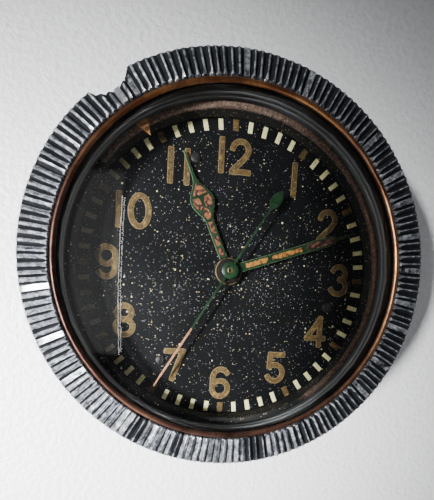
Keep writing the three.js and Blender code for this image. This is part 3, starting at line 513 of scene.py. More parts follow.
def dial_look():
    """Satin black paint with four sizes of lume dust and lint, thickest at the middle."""
    l = Look("dial_speckled", roughness=0.55)
    middle = l.span(l.radius(), 0.004, 0.026, 1.0, 0.45)
    cloud, grain = l.noise(120, 4, 0.6), l.noise(3000, 5, 0.7)
    drift = l.span(cloud, 0.3, 0.65, 0.55, 1.25)
    color = l.mix(l.span(cloud, 0.35, 0.7), (0.0018, 0.0018, 0.0020), (0.0054, 0.0054, 0.0066))
    for scale, size, density, tint in (
        (3900, 0.34, 0.50, (0.30, 0.31, 0.33)),
        (2600, 0.28, 0.32, (0.62, 0.50, 0.27)),
        (1500, 0.24, 0.22, (0.80, 0.72, 0.50)),
        (850, 0.17, 0.16, (0.86, 0.70, 0.36)),
    ):
        away, drawn = l.cells(scale)
        limit = l.math("MULTIPLY", l.math("MULTIPLY", middle, density), drift)
        chosen = l.math("LESS_THAN", drawn[0], limit)
        dot = l.math("LESS_THAN", away, l.math("MULTIPLY", drawn[1], size))
        color = l.mix(l.math("MULTIPLY", chosen, dot), color, tint)
    l.set(Base_Color=color, Roughness=l.span(grain, 0.3, 0.7, 0.5, 0.8), Specular_IOR_Level=0.10)
    l.bump((grain, 0.35, 0.00005), (cloud, 0.1, 0.0001))
    return l.m


def cream_look():
    """Fresh cream paint of the minute marks, with painted shade that turns them brown towards the left."""
    l = Look("mark_cream", roughness=0.7)
    grain, blot = l.noise(2600, 5, 0.7), l.noise(500, 3, 0.6)
    color = l.mix(l.span(grain, 0.35, 0.7), (0.90, 0.82, 0.34), (1.0, 0.95, 0.56))
    # Painted shade: marks at the left are mixed towards this dark brown
    left_shade = l.mix(l.span(grain, 0.35, 0.7), (0.16, 0.12, 0.07), (0.34, 0.27, 0.17))
    color = l.mix(l.span(l.axes()[0], -0.0205, -0.0135, 1.0, 0.0), color, left_shade)
    color = l.mix(l.span(blot, 0.62, 0.75), color, (0.33, 0.26, 0.13))
    l.set(Base_Color=color)
    l.bump((grain, 0.5, 0.00006))
    return l.m


def gold_look():
    """Gold brown lume of the numerals."""
    l = Look("mark_gold", roughness=0.75)
    grain, blot = l.noise(2300, 6, 0.85), l.noise(700, 4, 0.6)
    color = l.mix(l.span(grain, 0.40, 0.62), (0.030, 0.016, 0.003), (0.165, 0.094, 0.017))
    color = l.mix(l.span(blot, 0.57, 0.70), color, (0.27, 0.165, 0.040))
    color = l.mix(l.span(l.noise(3600, 2, 0.5), 0.68, 0.72), color, (0.62, 0.46, 0.16))
    l.set(Base_Color=color)
    l.bump((grain, 0.8, 0.00012))
    return l.m


def green_look():
    """Green paint of the hands."""
    l = Look("hand_green", metallic=0.15)
    grain, patch = l.noise(2200, 4, 0.7), l.noise(450, 4, 0.6)
    color = l.mix(l.span(patch, 0.35, 0.7), (0.004, 0.022, 0.007), (0.013, 0.050, 0.016))
    color = l.mix(l.span(grain, 0.62, 0.8), color, (0.08, 0.20, 0.10))
    l.set(Base_Color=color, Roughness=l.span(grain, 0.3, 0.7, 0.25, 0.5))
    l.bump((grain, 0.3, 0.00004))
    return l.m


def lume_look(name, dark, middle, pale):
    """Crumbled lume: pale chips with dark cracks between them."""
    l = Look(name, roughness=0.85)
    grain, patch = l.noise(1300, 6, 0.8), l.noise(620, 4, 0.65)
    worn = l.sway(l.cells(1500)[0], patch, 0.5)
    color = l.mix(l.span(grain, 0.40, 0.60), middle, pale)
    l.set(Base_Color=l.mix(l.span(worn, 0.46, 0.66), color, dark))
    l.bump((l.math("SUBTRACT", 1.0, worn), 0.8, 0.00016), (grain, 0.6, 0.00010))
    return l.m


def marker_look():
    l = Look("marker_orange", roughness=0.7)
    grain, patch = l.noise(2400, 5, 0.7), l.noise(400, 3, 0.6)
    color = l.mix(l.span(grain, 0.3, 0.7), (0.28, 0.12, 0.035), (0.45, 0.21, 0.07))
    l.set(Base_Color=l.mix(l.span(patch, 0.6, 0.75), color, (0.30, 0.15, 0.07)))
    l.bump((grain, 0.5, 0.00006))
    return l.m


def enamel_look():
    """Black enamel of the case, chipped to metal here and there."""
    l = Look("case_enamel")
    peel, grain, patch = l.noise(700, 2, 0.5), l.noise(2600, 5, 0.7), l.noise(140, 5, 0.65)
    paint = l.mix(l.span(grain, 0.35, 0.7), (0.013, 0.014, 0.016), (0.035, 0.037, 0.04))
    chip = l.span(l.math("ADD", patch, l.math("MULTIPLY", grain, 0.25)), 0.80, 0.83)
    l.set(Base_Color=l.mix(chip, paint, (0.42, 0.41, 0.39)), Metallic=chip)
    l.set(Roughness=l.span(grain, 0.3, 0.7, 0.3, 0.5))
    l.bump((peel, 0.25, 0.0001), (grain, 0.2, 0.00003))
    return l.m


def steel_look():
    l = Look("steel_turned", metallic=1.0)
    grain, rings = l.noise(1800, 4, 0.6), l.noise(2500, 2, 0.5, l.stretch((1, 1, 0.05)))
    l.set(Base_Color=l.mix(l.span(grain, 0.3, 0.7), (0.36, 0.36, 0.36), (0.62, 0.62, 0.61)))
    l.set(Roughness=l.span(rings, 0.3, 0.7, 0.2, 0.42))
    l.bump((rings, 0.2, 0.00003))
    return l.m


def brass_look():
    l = Look("brass_grained", metallic=1.0)
    grain, rings = l.noise(1500, 5, 0.65), l.noise(3200, 2, 0.5, l.stretch((1, 0.06, 1)))
    l.set(Base_Color=l.mix(l.span(grain, 0.3, 0.7), (0.50, 0.33, 0.11), (0.78, 0.58, 0.27)))
    l.set(Roughness=l.span(rings, 0.3, 0.7, 0.22, 0.45))
    l.bump((rings, 0.25, 0.00003), (grain, 0.15, 0.00002))
    return l.m


def blued_look():
    l = Look("steel_blued", metallic=1.0)
    grain, patch = l.noise(1800, 4, 0.6), l.noise(500, 3, 0.5)
    l.set(Base_Color=l.mix(l.span(patch, 0.35, 0.7), (0.025, 0.05, 0.20), (0.06, 0.06, 0.26)))
    l.set(Roughness=l.span(grain, 0.3, 0.7, 0.15, 0.3))
    l.bump((grain, 0.15, 0.00002))
    return l.m


def glass_look():
    """Old clear crystal: it lets light straight through, and adds a soft gloss, scratches and haze."""
    l = Look("crystal_clear", roughness=0.05)
    scratches, haze = l.noise(500, 5, 0.7, l.stretch((1, 0.05, 1))), l.noise(90, 4, 0.6)
    clear = l.node("BsdfTransparent", Color=(0.97, 0.98, 0.98, 1)).outputs[0]
    gloss = l.node("BsdfGlossy", Roughness=l.span(scratches, 0.3, 0.8, 0.002, 0.008)).outputs[0]
    dust = l.node("BsdfDiffuse", Color=(0.7, 0.7, 0.72, 1)).outputs[0]

    def blend(fac, a, b):
        n = l.t.nodes.new("ShaderNodeMixShader")
        for socket, value in zip(n.inputs, (fac, a, b)):
            l.feed(socket, value)
        return n.outputs[0]

    body = blend(l.node("Fresnel", IOR=1.45).outputs[0], clear, gloss)
    surface = blend(l.span(haze, 0.45, 0.8, 0.0003, 0.003), body, dust)
    l.feed(l.t.nodes["Material Output"].inputs[0], surface)
    return l.m


def floor_look():
    l = Look("table_white", roughness=0.45)
    peel, fine = l.noise(800, 2, 0.5), l.noise(1900, 3, 0.6)
    l.set(Base_Color=l.mix(l.span(peel, 0.3, 0.7), (0.74, 0.745, 0.75), (0.82, 0.825, 0.83)))
    l.bump((peel, 0.7, 0.0005), (fine, 0.25, 0.0001))
    return l.m


LOOK = {
    "bezel": bezel_look(),
    "bead": bead_look(),
    "ledge": ledge_look(),
    "dial": dial_look(),
    "cream": cream_look(),
    "gold": gold_look(),
    "green": green_look(),
    "marker": marker_look(),
    "enamel": enamel_look(),
    "steel": steel_look(),
    "brass": brass_look(),
    "blued": blued_look(),
    "glass": glass_look(),
    "floor": floor_look(),
}
for key, *colors in (
    ("lume", (0.012, 0.005, 0.004), (0.10, 0.030, 0.017), (0.24, 0.090, 0.050)),
    ("lume_peach", (0.022, 0.008, 0.004), (0.13, 0.038, 0.016), (0.31, 0.118, 0.050)),
    ("lume_gold", (0.050, 0.018, 0.003), (0.27, 0.098, 0.013), (0.45, 0.21, 0.042)),
):
    LOOK[key] = lume_look("hand_" + key, *colors)
# Name of the material, dark and light colours, reach of the grain, its texture, its relief, and the rest
for key, name, dark, light, reach, texture, relief, rest in (
    ("rim", "mark_rim", (0.09, 0.055, 0.018), (0.34, 0.24, 0.10), (0.35, 0.7),
        (2600, 5, 0.7), (0.5, 0.00006), {"roughness": 0.7}),
    # The pale green round the hands is a painted edge highlight
    ("green_edge_highlight", "hand_green_edge_highlight", (0.02, 0.07, 0.03), (0.20, 0.28, 0.15), (0.35, 0.65),
        (2200, 4, 0.7), (0.3, 0.00004), {}),
    ("copper", "second_copper", (0.34, 0.12, 0.045), (0.78, 0.42, 0.22), (0.35, 0.68),
        (1800, 5, 0.7), (0.5, 0.00006), {"metallic": 0.4, "roughness": 0.4}),
    ("screw_black", "screw_black", (0.006, 0.006, 0.007), (0.07, 0.055, 0.045), (0.45, 0.75),
        (2400, 5, 0.7), (0.4, 0.00005), {"metallic": 0.3}),
    ("boss", "boss_black", (0.003, 0.003, 0.003), (0.03, 0.026, 0.02), (0.45, 0.8),
        (2400, 5, 0.7), (0.3, 0.00004), {"roughness": 0.45, "gloss": 0.2}),
    ("rubber", "rubber_black", (0.012, 0.012, 0.012), (0.035, 0.034, 0.033), (0.3, 0.7),
        (2600, 5, 0.7), (0.3, 0.00004), {"roughness": 0.8}),
):
    LOOK[key] = grained(name, dark, light, reach, texture, relief, **rest)


# ---------- bezel

# Share of each flute that is worn bright, round the bezel: most at the lower left, where the light falls, and
# least at the upper right. It is partly wear and partly painted light.
LIT_SIDE_WEAR_STOPS = [
    (-40, 0.12), (-20, 0.05), (30, 0.03), (62, 0.06), (95, 0.11), (125, 0.21), (150, 0.33), (180, 0.42),
    (215, 0.54), (250, 0.69), (283, 0.68), (303, 0.18), (320, 0.12),
]
BARE_METAL = 0.60
WEAR_SLOPE = 1.8
MOST_WORN = 0.86
BLACK_WORN = 0.07
GROOVE_SINK = 0.92
UNEVEN = 0.15


class Row:
    """One row of points of the bezel's section.

    depth: how deep the flutes are. slope: how far a groove also sinks towards the axis.
    rub: extra share worn bright. scallop: depth of the scallops. wear: rubbing where there
    are no flutes, more on the lit side as painted light. The last argument is a painted sheen that lightens
    the inside wall, most at the right.
    """

    def __init__(self, r, z, depth=0, slope=0, rub=0, scallop=0, wear=0, painted_sheen=0):
        self.r, self.z, self.depth, self.slope = r, z, depth, slope
        self.rub, self.scallop, self.wear, self.painted_sheen = rub, scallop, wear, painted_sheen
        self.fluted = depth > 0.05


BEZEL_ROWS = [
    # skirt, with coarse scallops
    Row(SKIRT_IN_R + 0.2, SKIRT_Z),
    Row(BEZEL_R - 0.3, SKIRT_Z, scallop=0.16, wear=0.1),
    Row(BEZEL_R, SKIRT_Z + 0.3, scallop=0.16, wear=0.35),
    Row(BEZEL_R, DIAL_Z + 0.5, scallop=0.16, wear=0.3),
    Row(BEZEL_R, DIAL_Z + 4.6, scallop=0.16, wear=0.35),
    Row(BEZEL_R, DIAL_Z + 5.7, depth=0.02, scallop=0.16),
    # sloping front, with the flutes
    Row(BEZEL_R - 0.15, DIAL_Z + 6.6, depth=0.08, slope=0.22, scallop=0.06),
    Row(BEZEL_R - 0.4, DIAL_Z + 7.2, depth=0.26, slope=0.22),
    Row(BEZEL_R - 0.8, DIAL_Z + 7.58, depth=0.52, slope=0.22),
    Row(BEZEL_R - 1.8, DIAL_Z + 7.88, depth=0.66),
    Row(BEZEL_R - 2.9, DIAL_Z + 8.14, depth=0.66),
    Row(BEZEL_R - 4.0, DIAL_Z + 8.40, depth=0.66),
    Row(RIM_R + 0.55, DIAL_Z + 8.55, depth=0.62, rub=0.15),
    Row(RIM_R + 0.22, DIAL_Z + 8.52, depth=0.45, slope=-0.15, rub=0.5),
    Row(RIM_R + 0.1, DIAL_Z + 8.25, depth=0.2, slope=-0.15, rub=0.5),
    # seat of the crystal, and the inside wall with its two turned lands
    Row(RIM_R + 0.02, DIAL_Z + 7.9),
    Row(RIM_R, DIAL_Z + 6.0),
    # The inside wall rows carry a painted sheen, paler on the two lands and at the right
    Row(WALL_R - 0.15, DIAL_Z + 6.0, wear=0.255, painted_sheen=0.7),
    Row(WALL_R - 0.2, DIAL_Z + 5.7, wear=0.255, painted_sheen=0.7),
    Row(WALL_R, DIAL_Z + 5.5, painted_sheen=0.32),
    Row(WALL_R, DIAL_Z + 4.9, painted_sheen=0.32),
    Row(WALL_R - 0.18, DIAL_Z + 4.75, wear=0.255, painted_sheen=0.7),
    Row(WALL_R - 0.16, DIAL_Z + 4.45, wear=0.255, painted_sheen=0.7),
    Row(WALL_R, DIAL_Z + 4.3, painted_sheen=0.32),
    # hollow at the back, for the gear and the case's neck
    Row(WALL_R, DIAL_Z - 1.4),
    Row(GEAR_SEAT_R, DIAL_Z - 1.4),
    Row(GEAR_SEAT_R, DIAL_Z + 2.2),
    Row(SKIRT_IN_R, DIAL_Z + 2.2),
    Row(SKIRT_IN_R, SKIRT_Z + 0.2),
]


class Flutes:
    """What differs from flute to flute: height, wear, the side it leans to, and damage."""

    def __init__(self, rng):
        self.tall = [1.0 - 0.25 * rng.random() ** 3 for _ in range(FLUTES)]
        self.bright = [rng.random() for _ in range(FLUTES)]
        self.lean = [rng.choice((-0.125, 0.0, 0.125)) for _ in range(FLUTES)]
        self.flats = {}
        self.white = [0.0] * FLUTES
        for deg in (4, 13, 24, 33, 46, 344, 352, 331, 318, 71, 88, 121):
            self.flatten(deg + rng.uniform(-1.5, 1.5), 1, 0.75, rng.uniform(0.50, 0.60))
        self.flatten(NOTCH_DEG - 1.2, 1, 0.9, 1.0, 0.45)
        self.flatten(188.5, 1, 0.6, 1.0, 0.15)
        self.flatten(203, 1, 0.7, 0.9, 0.05)
        self.flatten(217, 1, 0.7, 0.8)
        for deg, count in ((277, 3), (254, 1), (240, 2), (296, 1)):
            self.flatten(deg, count)
        self.flatten(236, 2, 0.7, 0.9, 0.1)

    def flatten(self, deg, count, height=None, rubbed=0, white=0.0):
        """Flutes knocked flat to a height, rubbed bright and white. With no height they stay black."""
        first = round((deg % 360) / 360 * FLUTES)
        for k in range(count):
            i = (first + k) % FLUTES
            self.flats[i] = (height, rubbed)
            self.white[i] = white

    def height(self, i, u):
        """From 0 in the groove to 1 on the ridge, for u from 0 to 1 across flute i."""
        peak = 0.5 + self.lean[i]
        h = u / peak if u < peak else (1 - u) / (1 - peak)
        return min(1.0, h * 1.12)


def rubbing(h, share):
    """Wear at height h of a flute whose upper share is worn bright."""
    return BARE_METAL + (h - 1 + share) * WEAR_SLOPE


def bezel_point(flutes, row, j):
    """Place of point j of a row, how far it is rubbed bright (more on the lit side, as painted light), and
    how pale it is: white on rubbed flutes, painted sheen on the inside wall.
    """
    i, u = j // POINTS_PER_FLUTE, (j % POINTS_PER_FLUTE) / POINTS_PER_FLUTE
    deg = 360 * j / (FLUTES * POINTS_PER_FLUTE)
    r, z = row.r, row.z
    uneven = noise.noise(Vector((*polar(r * 0.9, deg), z * 0.8)))
    # Share worn bright at this angle: partly wear, partly painted light on the lit lower left
    zone = between(LIT_SIDE_WEAR_STOPS, deg)
    scallop = 0.5 + 0.5 * math.cos(math.radians(deg * FLUTES / 2))
    r -= row.scallop * scallop
    white = flutes.white[i] if row.fluted and u else 0.0
    if row.depth:
        h = flutes.height(i, u)
        wear = rubbing(h, min(MOST_WORN, zone * (0.75 + 0.5 * flutes.bright[i]) + row.rub))
        if row.fluted and u and i in flutes.flats:
            low, rubbed = flutes.flats[i]
            h, wear = (low, rubbed) if low else (h, rubbing(h, BLACK_WORN))
        drop = row.depth * (1 - h * flutes.tall[i]) * (1 + UNEVEN * uneven)
        r -= drop * row.slope
        z -= drop * GROOVE_SINK
    # Painted sheen on the inside wall, brightest at the right, where the light falls
    elif row.painted_sheen:
        east = math.cos(math.radians(deg))
        white = row.painted_sheen * (0.2 + 0.8 * max(0.0, east) + 0.4 * max(0.0, -east))
        wear = row.wear
    else:
        wear = row.wear * (0.5 + 0.6 * zone)
    return (*polar(r, deg), z), max(0.0, min(1.2, wear + 0.10 * uneven)), white


def bezel_mesh():
    flutes = Flutes(random.Random(11))
    cols = FLUTES * POINTS_PER_FLUTE
    points = [bezel_point(flutes, row, j) for row in BEZEL_ROWS for j in range(cols)]
    verts, wear, white_and_sheen = zip(*points)
    faces = grid_faces(len(BEZEL_ROWS), cols, True)
    ob = new_object("bezel_fluted", verts, faces, LOOK["bezel"], 38, "bezel", "bezel_metal", "fluted_bezel")
    point_values(ob, "wear", wear)
    point_values(ob, "white_and_sheen", white_and_sheen)
    outward(ob)
    carve(ob, [drill(NOTCH_R, 10, 45, polar(NOTCH_CENTRE_R, NOTCH_DEG), 64)], 35)


def bead_mesh():
    """The copper ring that holds the crystal."""
    middle_r, middle_z, wire = 27.2, DIAL_Z + 8.35, 0.43
    angles = [2 * math.pi * k / 14 for k in range(14)]
    profile = [(middle_r + wire * math.cos(a), middle_z + wire * 0.95 * math.sin(a)) for a in angles]

    def wobble(r, z, deg):
        n = noise.noise(Vector((*polar(9, deg), 3.0)))
        return r + 0.03 * n, z + 0.04 * n

    verts, faces = turned(profile, 240, True, wobble)
    new_object("crystal_bead", verts, faces, LOOK["bead"], 60, "bezel", "copper", "crystal_ring")


def crystal_mesh():
    """A domed crystal with a flat seat round its edge."""
    edge, base, rise, thick, seg = 26.45, DIAL_Z + 7.75, 1.95, 1.75, 160
    reach = [math.sin(math.pi / 2 * k / 14) for k in range(1, 15)]
    top = [(edge * t, base + rise * (1 - t ** 2)) for t in reach]
    low = [(r * 0.985, z - thick) for r, z in reversed(top)]
    seat = [(27.5, base - 0.15), (27.62, base - 0.4), (27.62, DIAL_Z + 6.35), (27.2, DIAL_Z + 6.3)]
    profile = top + seat + low
    verts, faces = turned(profile[::-1], seg, closed=False)
    verts += [(0, 0, profile[-1][1] + 0.003), (0, 0, profile[0][1] + 0.003)]
    bottom, apex = len(verts) - 2, len(verts) - 1
    last = (len(profile) - 1) * seg
    for j in range(seg):
        k = (j + 1) % seg
        faces += [(j, bottom, k), (last + k, apex, last + j)]
    outward(new_object("crystal_dome", verts, faces, LOOK["glass"], 50, "bezel", "glass", "crystal"))


def ledge_mesh():
    """The index ring, with a lumpy corroded rim round its upper edge."""
    seg = 480
    brown = [(-60, 0.4), (-30, 0.9), (0, 1.0), (110, 1.0), (150, 0.35), (200, 0.2), (250, 0.15), (300, 0.4)]
    # Radius, height, and how lumpy and brown the ring is there
    rows = [
        (LEDGE_R, DIAL_Z + 0.4, 0),
        (LEDGE_R + 0.82, DIAL_Z + 0.4, 0),
        (LEDGE_R + 0.98, LEDGE_Z - 0.1, 0.8),
        (LEDGE_R + 0.9, LEDGE_Z + 0.04, 1),
        (LEDGE_R + 0.55, LEDGE_Z + 0.1, 1),
        (LEDGE_R + 0.2, LEDGE_Z + 0.06, 1),
        (LEDGE_R + 0.02, LEDGE_Z - 0.05, 1),
        (LEDGE_R - 0.06, LEDGE_Z - 0.3, 0.85),
        (LEDGE_R, LEDGE_Z - 0.6, 0.1),
        (LEDGE_R, LEDGE_Z - 1.6, 0),
    ]
    verts, rust = [], []
    for i, (r, z, lump) in enumerate(rows):
        for j in range(seg):
            deg = 360 * j / seg
            slow = noise.noise(Vector((*polar(12, deg), 1.5)))
            fine = noise.noise(Vector((*polar(60, deg), i * 0.7)))
            inwards = lump * (0.16 * slow + 0.07 * fine) if r < LEDGE_R + 0.5 else 0
            verts.append((*polar(r - inwards, deg), z + lump * 0.12 * fine))
            rust.append(lump * between(brown, deg))
    faces = grid_faces(len(rows), seg, True)
    ob = new_object("index_ledge", verts, faces, LOOK["ledge"], 40, "bezel", "ledge", "index_ring")
    point_values(ob, "rust", rust)
    outward(ob)


def marker_mesh():
    """The orange triangle, which points at the dial."""
    foot_r, half = 26.75, 2.45
    outline = [(24.35, 0), (foot_r, -half), (foot_r + 0.15, 0), (foot_r, half)]
    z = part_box("index_triangle")[0][2] / MM
    verts, faces = plate([polar(r, MARKER_DEG + deg) for r, deg in outline], z, z + 0.34, 0.07)
    new_object("index_marker", verts, faces, LOOK["marker"], 30, "bezel", "marker", "index_triangle")


bezel_mesh()
bead_mesh()
crystal_mesh()
ledge_mesh()
marker_mesh()


# ---------- dial

DIAL_SCREWS = [polar(DIAL_SCREW_R, 90 - clock) for clock in DIAL_SCREW_CLOCKS]


def dial_mesh():
    verts, faces = washer(2.4, DIAL_R, DIAL_Z - 0.8, DIAL_Z, 0.08, 160)
    ob = new_object("dial_disc", verts, faces, LOOK["dial"], 30, "case", "dial_paint", "dial")
    outward(ob)
    carve(ob, [drill(0.66, DIAL_Z - 2, DIAL_Z + 1, p, 24) for p in DIAL_SCREWS])


def marks():
    """60 printed minute marks, none quite straight. Those at the hours are wider and gold."""
    minutes, hours = [], []
    rng = random.Random(5)
    middle = Vector((24.75, 0, 0))
    for k in range(60):
        hour = k % 5 == 0
        half = 0.51 if hour else 0.40
        r0, r1 = MARK_IN_R + rng.uniform(-0.06, 0.06), MARK_OUT_R + rng.uniform(-0.06, 0.06)
        tilt = Matrix.Rotation(math.radians(rng.uniform(-0.9, 0.9)), 4, "Z")
        mark = [(r0, -half), (r1, -half), (r1, half), (r0, half)]
        verts, faces = plate(mark, DIAL_Z + 0.005, DIAL_Z + 0.10, 0.06)
        to_hour = Matrix.Rotation(math.radians(90 - 6 * k), 4, "Z")
        m = to_hour @ Matrix.Translation(middle) @ tilt @ Matrix.Translation(-middle)
        (hours if hour else minutes).append(([tuple(m @ Vector(p)) for p in verts], faces))
    new_object("minute_marks", *joined(minutes), LOOK["cream"], 30, "case", "dial_paint")
    new_object("hour_marks", *joined(hours), LOOK["gold"], 30, "case", "dial_paint")


# Centre lines of each figure's strokes, 5 mm tall with the middle at the origin
GLYPHS = {
    "0": [arc(0, 0, 1.5, 2.53, 90, 450, 30)],
    "1": [[(0, 2.53), (0, -2.53)]],
    "2": [
        arc(0, 1.18, 1.38, 1.35, 172, -28, 18)
        + [(0.62, -0.35), (-0.25, -1.25), (-0.95, -1.95), (-1.32, -2.5)],
        [(-1.32, -2.5), (1.5, -2.5)],
    ],
    "3": [arc(-0.1, 1.3, 1.25, 1.23, 155, -75, 16), arc(-0.1, -1.12, 1.5, 1.38, 80, -152, 16)],
    "4": [[(0.75, 2.45), (0.75, -2.53)], [(0.75, 2.45), (-1.65, -1.25)], [(-1.65, -1.25), (1.6, -1.25)]],
    "5": [
        [(1.3, 2.5), (-1.05, 2.5)],
        [(-1.05, 2.5), (-1.15, 0.35)],
        arc(-0.05, -0.95, 1.48, 1.55, 132, -150, 18),
    ],
    "6": [
        arc(0.05, 0.9, 1.45, 1.63, 38, 180, 12) + [(-1.42, -0.2), (-1.42, -1.0)],
        arc(0, -1.08, 1.42, 1.45, 180, -180, 26),
    ],
    "7": [[(-1.45, 2.5), (1.4, 2.5)], [(1.4, 2.5), (-0.35, -2.5)]],
    "8": [arc(0, 1.28, 1.2, 1.24, 90, 450, 24), arc(0, -1.18, 1.45, 1.36, 90, 450, 26)],
}
GLYPHS["9"] = [[(-x, -y) for x, y in path] for path in GLYPHS["6"]]

NUMERALS = {
    "12": (0, 19.7), "1": (11.0, 16.9), "2": (17.9, 9.5), "3": (21.1, -0.1), "4": (17.4, -9.8),
    "5": (10.05, -17.0), "6": (-0.2, -20.15), "7": (-8.7, -17.1), "8": (-17.7, -9.5), "9": (-20.9, 0.3),
    "10": (-16.8, 9.1), "11": (-9.4, 17.1),
}
DIGITS_APART = {"12": (-2.2, 1.1), "11": (-1.4, 1.4), "10": (-2.3, 1.15)}


def stepped(path, steps=6):
    """A straight stroke with points along it."""
    (ax, ay), (bx, by) = path
    return [(ax + (bx - ax) * t / steps, ay + (by - ay) * t / steps) for t in range(steps + 1)]


def numerals():
    """Each figure has a thin darker rim under its raised lume. Crossing strokes differ a little in height."""
    for name, (cx, cy) in NUMERALS.items():
        top, rim = [], []
        for digit, dx in zip(name, DIGITS_APART.get(name, (0,))):
            for s, path in enumerate(GLYPHS[digit]):
                lift = 0.004 * s
                spot = [(x + dx + cx, y + cy) for x, y in (stepped(path) if len(path) == 2 else path)]
                rim.append(stroke(spot, STROKE + 0.10, DIAL_Z + 0.004, DIAL_Z + 0.05 + lift, 0.03))
                top.append(stroke(spot, STROKE - 0.12, DIAL_Z + 0.02, DIAL_Z + 0.13 + lift, 0.06))
        new_object("numeral_%s_edge" % name, *joined(rim), LOOK["rim"], 30, "case", "dial_paint")
        new_object("numeral_%s" % name, *joined(top), LOOK["gold"], 30, "case", "dial_paint")


def screw_head(r, h, dome=0.12, seg=40):
    """A low domed head standing on z = 0, with a shank below."""
    crown = [(r * t, h + dome * (1 - t * t)) for t in (0.02, 0.3, 0.6, 0.85)]
    profile = crown + [(r - 0.06, h), (r, h - 0.08), (r, 0), (r * 0.6, 0), (r * 0.6, -1.2), (0.02, -1.2)]
    verts, faces = turned(profile[::-1], seg, closed=False)
    return verts, faces + end_faces(len(profile), seg)


def slot_cutter(r, width, z0, z1, at, turn):
    """A box longer than the head, for its screwdriver slot."""
    x, y = r * 1.2, width / 2
    verts = [(*p, z) for z in (z0, z1) for p in ((-x, -y), (x, -y), (x, y), (-x, y))]
    return new_object("slot", place(verts, (*at, 0), turn), grid_faces(2, 4) + end_faces(2, 4), smooth=0)


def dial_screws():
    for k, (p, turn) in enumerate(zip(DIAL_SCREWS, (35, 80, 130)), 1):
        verts, faces = screw_head(0.84, 0.3)
        ob = new_object(
            "dial_screw_head_%d" % k, place(verts, (*p, DIAL_Z + 0.03)), faces, LOOK["screw_black"], 40,
            "case", "steel", "dial_screw_%d" % k)
        carve(ob, [slot_cutter(0.9, 0.2, DIAL_Z + 0.23, DIAL_Z + 1.45, p, turn)])


dial_mesh()
marks()
numerals()
dial_screws()


# ---------- hands

def mirror(side):
    """An outline from its right-hand side, listed from tail to tip."""
    return side + [(-x, y) for x, y in reversed(side)]


def hand_piece(name, parts, look, body, clock, replaces=None):
    """Parts drawn along +Y, turned to a place on the dial."""
    verts, faces = joined(parts)
    verts = place(verts, (0, 0, 0), -clock)
    new_object(name, verts, faces, LOOK[look], 30, body, "hand_paint", replaces)


def hour_hand():
    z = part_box("hour_hand")[0][2] / MM
    top = z + 0.2
    side = [
        (0.62, 2.0), (0.64, 9.3), (1.0, 10.2), (1.6, 11.2), (1.98, 12.3), (1.96, 13.2), (1.5, 14.2),
        (0.85, 15.1), (0.38, 15.9), (0.2, 16.9), (0.15, 19.0), (0.07, 21.2),
    ]
    petal = [(0.25, 11.6), (0.95, 11.0), (1.45, 11.7), (1.68, 12.5), (1.5, 13.4), (0.5, 13.2), (0.25, 12.4)]
    other_petal = [(-x, y) for x, y in reversed(petal)]
    heart = mirror([(0.25, 9.4), (0.62, 10.1), (0.55, 10.9), (0.1, 11.4)])
    point = mirror([(0.2, 13.6), (1.25, 13.7), (0.95, 14.4), (0.5, 15.1), (0.15, 15.6)])
    lume = [slab(0.38, a, b, top, top + 0.13) for a, b in ((2.9, 4.2), (4.7, 6.4), (6.9, 8.9))]
    lume.append(plate(heart, top, top + 0.14))
    lume += [plate(p, top, top + 0.15) for p in (petal, other_petal)]
    lume.append(plate(point, top, top + 0.14))
    # A paler green plate just wider than the blade paints a highlight along its edges
    edge = plate(mirror([(x + 0.07, y) for x, y in side]), z - 0.02, z + 0.16, 0.04)
    for name, part, look, replaces in (
        ("hour_blade_edge", edge, "green_edge_highlight", None),
        ("hour_blade", plate(mirror(side), z, z + 0.24, 0.06), "green", "hour_hand"),
        ("hour_boss", washer(1.55, 2.55, z, z + 0.45, 0.1), "boss", None),
        ("hour_boss_rim", washer(2.16, 2.34, z + 0.3, z + 0.56, 0.06), "brass", None),
    ):
        hand_piece(name, [part], look, "hour_hand", HOUR_CLOCK, replaces)
    hand_piece("hour_lume", lume, "lume_peach", "hour_hand", HOUR_CLOCK)


def minute_hand():
    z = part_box("minute_hand")[0][2] / MM
    top = z + 0.18
    side = [
        (0.74, 1.2), (0.70, 8.0), (0.72, 14.0), (0.84, 16.5), (0.78, 18.9), (0.52, 19.9), (0.24, 20.5),
        (0.14, 21.4), (0.07, 23.95),
    ]
    # A paler green plate just wider than the blade paints a highlight along its edges
    edge = plate(mirror([(x + 0.06, y) for x, y in side]), z - 0.02, z + 0.15, 0.04)
    gold = [slab(0.42, a, b, top, top + 0.12) for a, b in ((3.1, 7.2), (8.0, 13.6))]
    dark = plate(mirror([(0.45, 14.6), (0.56, 16.5), (0.52, 18.6), (0.32, 19.8)]), top, top + 0.12)
    for name, parts, look, replaces in (
        ("minute_blade_edge", [edge], "green_edge_highlight", None),
        ("minute_blade", [plate(mirror(side), z, z + 0.22)], "green", "minute_hand"),
        ("minute_boss", [washer(0.62, 2.0, z, z + 0.4, 0.1)], "boss", None),
        ("minute_lume", gold, "lume_gold", None),
        ("minute_lume_tip", [dark], "lume", None),
    ):
        hand_piece(name, parts, look, "minute_hand", MINUTE_CLOCK, replaces)


